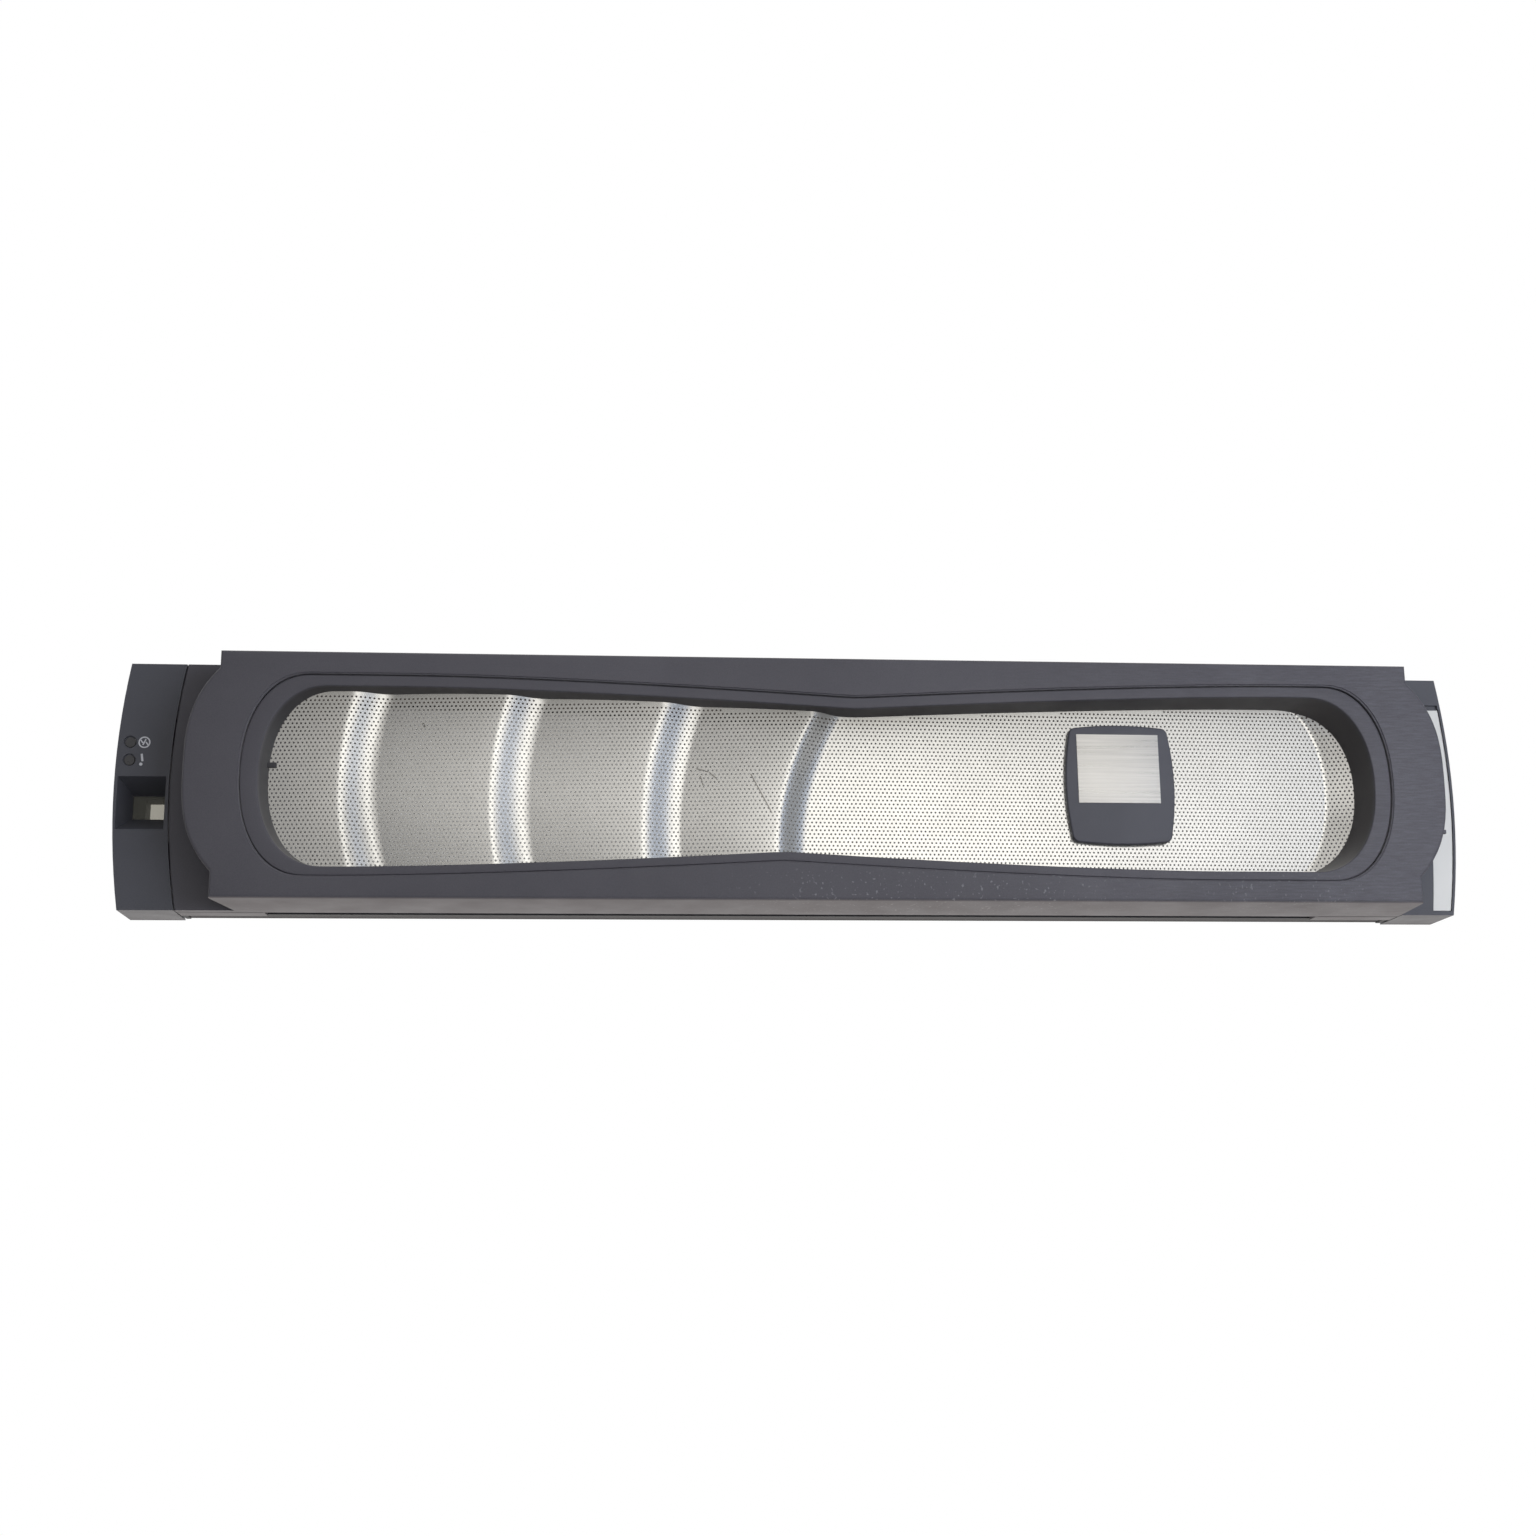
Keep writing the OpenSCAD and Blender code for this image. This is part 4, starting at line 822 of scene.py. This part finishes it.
# ---------------------------------------------------------------- badge
def badge_ring(y, g):
    b = BADGE
    w, h, r = b["w"] / 2 - g, b["h"] / 2 - g, max(0.3, b["r"] - g)
    ring = []
    for q, (sx, sz) in enumerate(((1, 1), (-1, 1), (-1, -1), (1, -1))):
        for i in range(9):
            a = math.pi / 2 * (q + i / 8)
            ring.append((b["x"] + sx * (w - r) + r * math.cos(a), y,
                         b["z"] + sz * (h - r) + r * math.sin(a)))
        for i in range(1, 16):
            t = i / 16
            bulge = 1 - (2 * t - 1) ** 2
            along = 1 - 2 * t
            if q % 2 == 0:
                ring.append((b["x"] + sx * (w - r) * along, y, b["z"] + sz * (h + b["bow_z"] * bulge)))
            else:
                ring.append((b["x"] + sx * (w + b["bow_x"] * bulge), y, b["z"] + sz * (h - r) * along))
    return ring


def make_plaque():
    e = 0.6
    rings = [badge_ring(BADGE["back"], 0)]
    rings += [badge_ring(BADGE["face"] + e * (1 - math.sin(t)), e * (1 - math.cos(t)))
              for t in (0, 0.4, 0.8, 1.2, math.pi / 2)]
    points, faces = loft(rings)
    n = len(rings[0])
    faces.append(tuple(range(n)))
    faces.append(tuple(range(len(points) - n, len(points))))
    return points, faces


plaque = link("badge_body", mesh_from("badge_body", *make_plaque()))
finish_piece(plaque, "badge_moulding", BADGE_BODY, "badge_plaque")

low, high = (Vector(c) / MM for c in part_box("badge_plate"))
plate = link("badge_face_plate", mesh_from("badge_face_plate", *soft_box(tuple(low), tuple(high), 0.15)))
finish_piece(plate, "badge_metal", PLATE, "badge_plate")


# ---------------------------------------------------------------- status symbols on the left cap
MARK_Y = (-0.05, 0.02)              # front and back of the print; the ears' front is y = 0
MARK_STEPS = 28


def ring_mark(x, z, r, width):
    points, faces = [], []
    for i in range(MARK_STEPS):
        a = math.radians(360 * i / MARK_STEPS)
        for radius in (r - width / 2, r + width / 2):
            for y in MARK_Y:
                points.append((x + radius * math.cos(a), y, z + radius * math.sin(a)))
    for i in range(MARK_STEPS):
        a, b = i * 4, (i + 1) % MARK_STEPS * 4
        faces += [(a, a + 2, b + 2, b), (a + 1, b + 1, b + 3, a + 3), (a, b, b + 1, a + 1),
                  (a + 2, a + 3, b + 3, b + 2)]
    return points, faces


def bar_mark(x, z, w, h, tilt=0.0):
    c, s = math.cos(math.radians(tilt)), math.sin(math.radians(tilt))
    corner = [(-w / 2, -h / 2), (w / 2, -h / 2), (w / 2, h / 2), (-w / 2, h / 2)]
    points = [(x + a * c - b * s, y, z + a * s + b * c) for y in MARK_Y for a, b in corner]
    faces = [(0, 1, 2, 3), (7, 6, 5, 4), (0, 4, 5, 1), (1, 5, 6, 2), (2, 6, 7, 3), (3, 7, 4, 0)]
    return points, faces


power_mark = [ring_mark(-231.7, 59.7, 1.85, 0.45), bar_mark(-232.6, 60.0, 0.42, 1.3, 35),
              bar_mark(-231.7, 59.8, 0.45, 2.3, -25), bar_mark(-230.8, 59.3, 0.42, 1.3, 35)]
alert_mark = [bar_mark(-232.2, 54.2, 0.75, 2.7, 8), ring_mark(-232.5, 51.8, 0.3, 0.55)]
marks = mesh_from("status_symbols", *join_parts(power_mark + alert_mark), solid=False)
marks = link("status_symbols", marks)
finish_piece(marks, "label_film", MARK)


# ---------------------------------------------------------------- camera, at the photograph's viewing angle
def rotation(ax, ay, az):
    cx, sx, cy, sy, cz, sz = (f(a) for a in (ax, ay, az) for f in (math.cos, math.sin))
    about_x = Matrix(((1, 0, 0), (0, cx, -sx), (0, sx, cx)))
    about_y = Matrix(((cy, 0, sy), (0, 1, 0), (-sy, 0, cy)))
    about_z = Matrix(((cz, -sz, 0), (sz, cz, 0), (0, 0, 1)))
    return about_y @ about_x @ about_z


CAMERA_TURN = (-0.2310903, -0.0090546, 0.0806952)    # radians
CAMERA_PLACE = (-69.5125, -715.0657, -116.2520)      # below and left of the middle
CAMERA_LENS = 48.05

turn = rotation(*CAMERA_TURN).transposed()
axes = (turn @ Vector((1, 0, 0)), turn @ Vector((0, 0, 1)), -(turn @ Vector((0, 1, 0))))
place = Matrix.Translation(Vector(CAMERA_PLACE) * MM)
camera_data = bpy.data.cameras.new("camera")
camera_data.sensor_width = 36.0
camera_data.lens = CAMERA_LENS
camera_data.clip_start = 0.01
camera = link("camera", camera_data)
camera.matrix_world = place @ Matrix(axes).transposed().to_4x4()
bpy.context.scene.camera = camera


# ---------------------------------------------------------------- floor, world and lamps
FOOT_X, FOOT_Y = 0.243, 0.0225    # half size of the bezel's footprint, in metres


def floor_mesh(name, xs, ys, but=None):
    """Flat grid just under the bezel, with the cell named by but left open."""
    mesh = bpy.data.meshes.new(name)
    wide = len(xs)
    faces = [(wide * j + i, wide * j + i + 1, wide * (j + 1) + i + 1, wide * (j + 1) + i)
             for j in range(len(ys) - 1) for i in range(wide - 1) if (i, j) != but]
    mesh.from_pydata([(x, y, FLOOR_Z) for y in ys for x in xs], [], faces)
    return link(name, mesh)


FLOOR_HALF, FLOOR_Z = 2.5, -0.0004


def make_floor():
    size = FLOOR_HALF
    floor = floor_mesh("floor", (-size, -FOOT_X, FOOT_X, size),
                       (-size, -FOOT_Y, FOOT_Y, size), but=(1, 1))
    under = floor_mesh("floor_under", (-FOOT_X, FOOT_X), (-FOOT_Y, FOOT_Y))
    # Only the camera sees this piece, so light from below still reaches the bezel's underside
    under.visible_diffuse = under.visible_glossy = False
    under.visible_transmission = under.visible_shadow = False
    m = Nodes("floor_pale")
    top = m.add("BsdfPrincipled")
    cloud = m.grey(m.noise(m.coords(), 3.0), 0.3, 0.7)
    colour = m.mix(cloud, (0.86, 0.86, 0.86, 1), (0.9, 0.9, 0.9, 1))
    m.set(top, "Base Color", colour)
    m.set(top, "Roughness", 0.9)
    m.shown_to(top, "Is Camera Ray", "Is Glossy Ray", "Is Transmission Ray")
    for piece in (floor, under):
        piece.data.materials.append(m.material)


def make_shade_sheet():
    """Patch of the backdrop right behind the bezel, in its shade, with painted shade at its ends and on its
    right half and a painted lighter stretch on the left.
    """
    mesh = bpy.data.meshes.new("shade_sheet")
    x, y, low, high = 0.211, 0.0214, 0.0045, 0.0839
    mesh.from_pydata([(-x, y, low), (x, y, low), (x, y, high), (-x, y, high)], [], [(0, 1, 2, 3)])
    sheet = link("shade_sheet", mesh)
    m = Nodes("backdrop_paper")
    at = m.coords()
    split = m.add("SeparateXYZ")
    m.set(split, "Vector", at)
    pale = m.mix(m.grey(m.noise(at, 40.0), 0.3, 0.7), (0.80, 0.79, 0.77, 1), (0.86, 0.85, 0.83, 1))
    # Painted shade beyond the rounded end of the pale part on the right
    across = m.math("MAXIMUM", m.math("SUBTRACT", split.outputs["X"], 0.1468), 0.0)
    up = m.math("SUBTRACT", split.outputs["Z"], 0.0505)
    reach = m.math("SQRT", m.math("ADD", m.math("MULTIPLY", across, across), m.math("MULTIPLY", up, up)))
    right = m.grey(reach, 0.0545, 0.0565, 1.0, 0.35)
    # Painted shade on the left end and on the right half
    left = m.math("MULTIPLY", m.grey(split.outputs["X"], -0.19, -0.15, 0.65, 1.0),
                  m.grey(split.outputs["X"], -0.012, 0.004, 1.0, 0.45))
    front = m.add("BsdfDiffuse")
    m.set(front, "Color", m.mix(m.math("MULTIPLY", left, right), (0.0, 0.0, 0.0, 1), pale))
    # Painted light between the first and the third step: there a little of the white background shows
    # through for the camera
    painted_light_stretch = m.math("MULTIPLY", m.grey(split.outputs["X"], -0.162, -0.142),
                  m.grey(split.outputs["X"], -0.075, -0.045, 1.0, 0.25))
    m.shown_to(front, "Is Camera Ray", share=m.grey(painted_light_stretch, 0.0, 1.0, 1.0, 0.87))
    mesh.materials.append(m.material)


WALL_START, WALL_END, WALL_LEVEL = -80.0, 120.0, 1.63
WALL_TONES = [                      # bearing right of the view in degrees, colour
    (-72, (0.19, 0.19, 0.19, 1)), (-27, (0.285, 0.28, 0.275, 1)), (-23, (0.36, 0.355, 0.345, 1)),
    (-19, (0.43, 0.421, 0.405, 1)), (-11, (0.535, 0.525, 0.51, 1)), (-5, (0.65, 0.64, 0.62, 1)),
    (-1, (0.80, 0.79, 0.77, 1)), (3, (1.0, 0.99, 0.96, 1)), (14, (1.0, 0.99, 0.96, 1)),
    (21, (0.85, 0.845, 0.835, 1)), (28, (0.71, 0.715, 0.73, 1)), (35, (0.42, 0.45, 0.51, 1)),
    (40, (0.305, 0.342, 0.415, 1)), (44, (0.245, 0.278, 0.345, 1)), (49, (0.215, 0.245, 0.305, 1)),
    (63, (0.15, 0.163, 0.187, 1)), (78, (0.12, 0.13, 0.147, 1)), (100, (0.09, 0.095, 0.11, 1))]
WALL_LOW, WALL_HIGH = 0.3, 0.7      # heights between which the wall darkens upwards, in metres
# Tone against that height: for what the long rises mirror, and for the flat part
SHADE_LEFT = [(0.0, 0.38), (0.045, 0.52), (0.09, 0.71), (0.138, 0.80), (0.184, 0.849), (0.23, 0.883),
              (0.323, 0.882), (0.415, 0.86), (0.461, 0.78), (0.508, 0.65), (0.554, 0.47),
              (0.62, 0.28), (0.75, 0.36), (1.0, 0.55)]
SHADE_FLAT = [(0.0, 0.84), (0.045, 0.93), (0.09, 0.96), (0.138, 1.0), (0.23, 1.0), (0.277, 0.975),
              (0.323, 0.911), (0.369, 0.896), (0.415, 0.85), (0.461, 0.73), (0.508, 0.52),
              (0.554, 0.31), (0.62, 0.17), (0.75, 0.30), (1.0, 0.65)]


def make_wall():
    """Curved studio wall in front that glows, seen only in mirror images; its tone follows the bearing."""
    radius, low, high, steps = 1.7, -1.3, 1.9, 60
    points, faces = [], []
    for i in range(steps + 1):
        a = math.radians(WALL_START + (WALL_END - WALL_START) * i / steps)
        for z in (low, high):
            points.append((radius * math.sin(a), -radius * math.cos(a), z))
    faces = [(2 * i, 2 * i + 1, 2 * i + 3, 2 * i + 2) for i in range(steps)]
    mesh = bpy.data.meshes.new("studio_wall")
    mesh.from_pydata(points, [], faces)
    wall = link("studio_wall", mesh)
    m = Nodes("studio_wall")
    split = m.add("SeparateXYZ")
    m.set(split, "Vector", m.add("TexCoord").outputs["Object"])
    back = m.math("MULTIPLY", split.outputs["Y"], -1.0)
    bearing = m.math("ARCTAN2", split.outputs["X"], back)
    share = m.grey(bearing, math.radians(WALL_START), math.radians(WALL_END))
    tones = [((b - WALL_START) / (WALL_END - WALL_START), colour) for b, colour in WALL_TONES]
    wall_glow = m.add("Emission")
    m.set(wall_glow, "Color", m.ramp(share, tones))
    rise = m.grey(split.outputs["Z"], WALL_LOW, WALL_HIGH)
    left, flat = (m.ramp(rise, [(at, (tone, tone, tone, 1)) for at, tone in stops])
                  for stops in (SHADE_LEFT, SHADE_FLAT))
    shade = m.mix(m.grey(bearing, math.radians(-8), math.radians(3)), left, flat)
    # The steps' steep middles look far to the right, where the wall is lit evenly up to the top
    even = m.grey(bearing, math.radians(28), math.radians(44))
    shade = m.mix(even, shade, (0.95, 0.95, 0.95, 1))
    m.set(wall_glow, "Strength", m.math("MULTIPLY", shade, WALL_LEVEL))
    m.shown_to(wall_glow, "Is Glossy Ray", both_sides=True)
    mesh.materials.append(m.material)


def make_world(left, right, below, colour):
    """White wherever it is seen or mirrored; elsewhere room light that rises upwards and to the right."""
    world = bpy.data.worlds.new("studio")
    bpy.context.scene.world = world
    world.use_nodes = True
    tree = world.node_tree
    tree.nodes.clear()
    path = tree.nodes.new("ShaderNodeLightPath")
    seen = path.outputs["Is Camera Ray"]
    for other in ("Is Glossy Ray", "Is Transmission Ray"):
        either = tree.nodes.new("ShaderNodeMath")
        either.operation = "MAXIMUM"
        tree.links.new(seen, either.inputs[0])
        tree.links.new(path.outputs[other], either.inputs[1])
        seen = either.outputs[0]
    white = tree.nodes.new("ShaderNodeBackground")
    white.inputs["Color"].default_value = (1, 1, 1, 1)
    white.inputs["Strength"].default_value = 1.0
    room = tree.nodes.new("ShaderNodeBackground")
    room.inputs["Color"].default_value = colour
    split = tree.nodes.new("ShaderNodeSeparateXYZ")
    tree.links.new(tree.nodes.new("ShaderNodeTexCoord").outputs["Generated"], split.inputs[0])
    across = tree.nodes.new("ShaderNodeMapRange")
    for socket, value in (("From Min", -1.0), ("To Min", left), ("To Max", right)):
        across.inputs[socket].default_value = value
    tree.links.new(split.outputs["X"], across.inputs["Value"])
    rise = tree.nodes.new("ShaderNodeMapRange")
    for socket, value in (("From Min", -0.7), ("From Max", 0.3), ("To Min", below)):
        rise.inputs[socket].default_value = value
    tree.links.new(split.outputs["Z"], rise.inputs["Value"])
    both = tree.nodes.new("ShaderNodeMath")
    both.operation = "MULTIPLY"
    tree.links.new(across.outputs["Result"], both.inputs[0])
    tree.links.new(rise.outputs["Result"], both.inputs[1])
    tree.links.new(both.outputs[0], room.inputs["Strength"])
    mix = tree.nodes.new("ShaderNodeMixShader")
    output = tree.nodes.new("ShaderNodeOutputWorld")
    tree.links.new(seen, mix.inputs[0])
    tree.links.new(room.outputs[0], mix.inputs[1])
    tree.links.new(white.outputs[0], mix.inputs[2])
    tree.links.new(mix.outputs[0], output.inputs["Surface"])


def lamp(name, place, aim, size, level, colour):
    """Soft panel lamp; a level of 1 is as bright as a white surface in mirror images."""
    data = bpy.data.lights.new(name, "AREA")
    data.shape = "RECTANGLE"
    data.size, data.size_y = size
    data.energy = 4 * size[0] * size[1] * level
    data.color = colour
    light = link(name, data)
    light.location = place
    direction = Vector(aim) - Vector(place)
    light.rotation_euler = direction.to_track_quat("-Z", "Y").to_euler()
    light.visible_camera = False
    light.visible_glossy = False


CENTRE = (0.0, 0.0, 0.044)
make_floor()
make_shade_sheet()
make_wall()
make_world(0.15, 0.32, 0.45, (0.97, 0.98, 1.0, 1))
lamp("room_front", (-0.2, -1.5, 0.02), CENTRE, (1.6, 0.8), 0.96, (0.97, 0.98, 1.0))
lamp("window_right", (0.50, -0.78, 0.04), (0.05, 0.0, 0.044), (0.5, 0.6), 4.5, (0.89, 0.93, 1.0))
lamp("table_bounce", (0.0, 0.5, -0.85), CENTRE, (1.3, 0.5), 4.15, (1.0, 0.83, 0.62))

scene = bpy.context.scene
scene.view_settings.view_transform = "Standard"
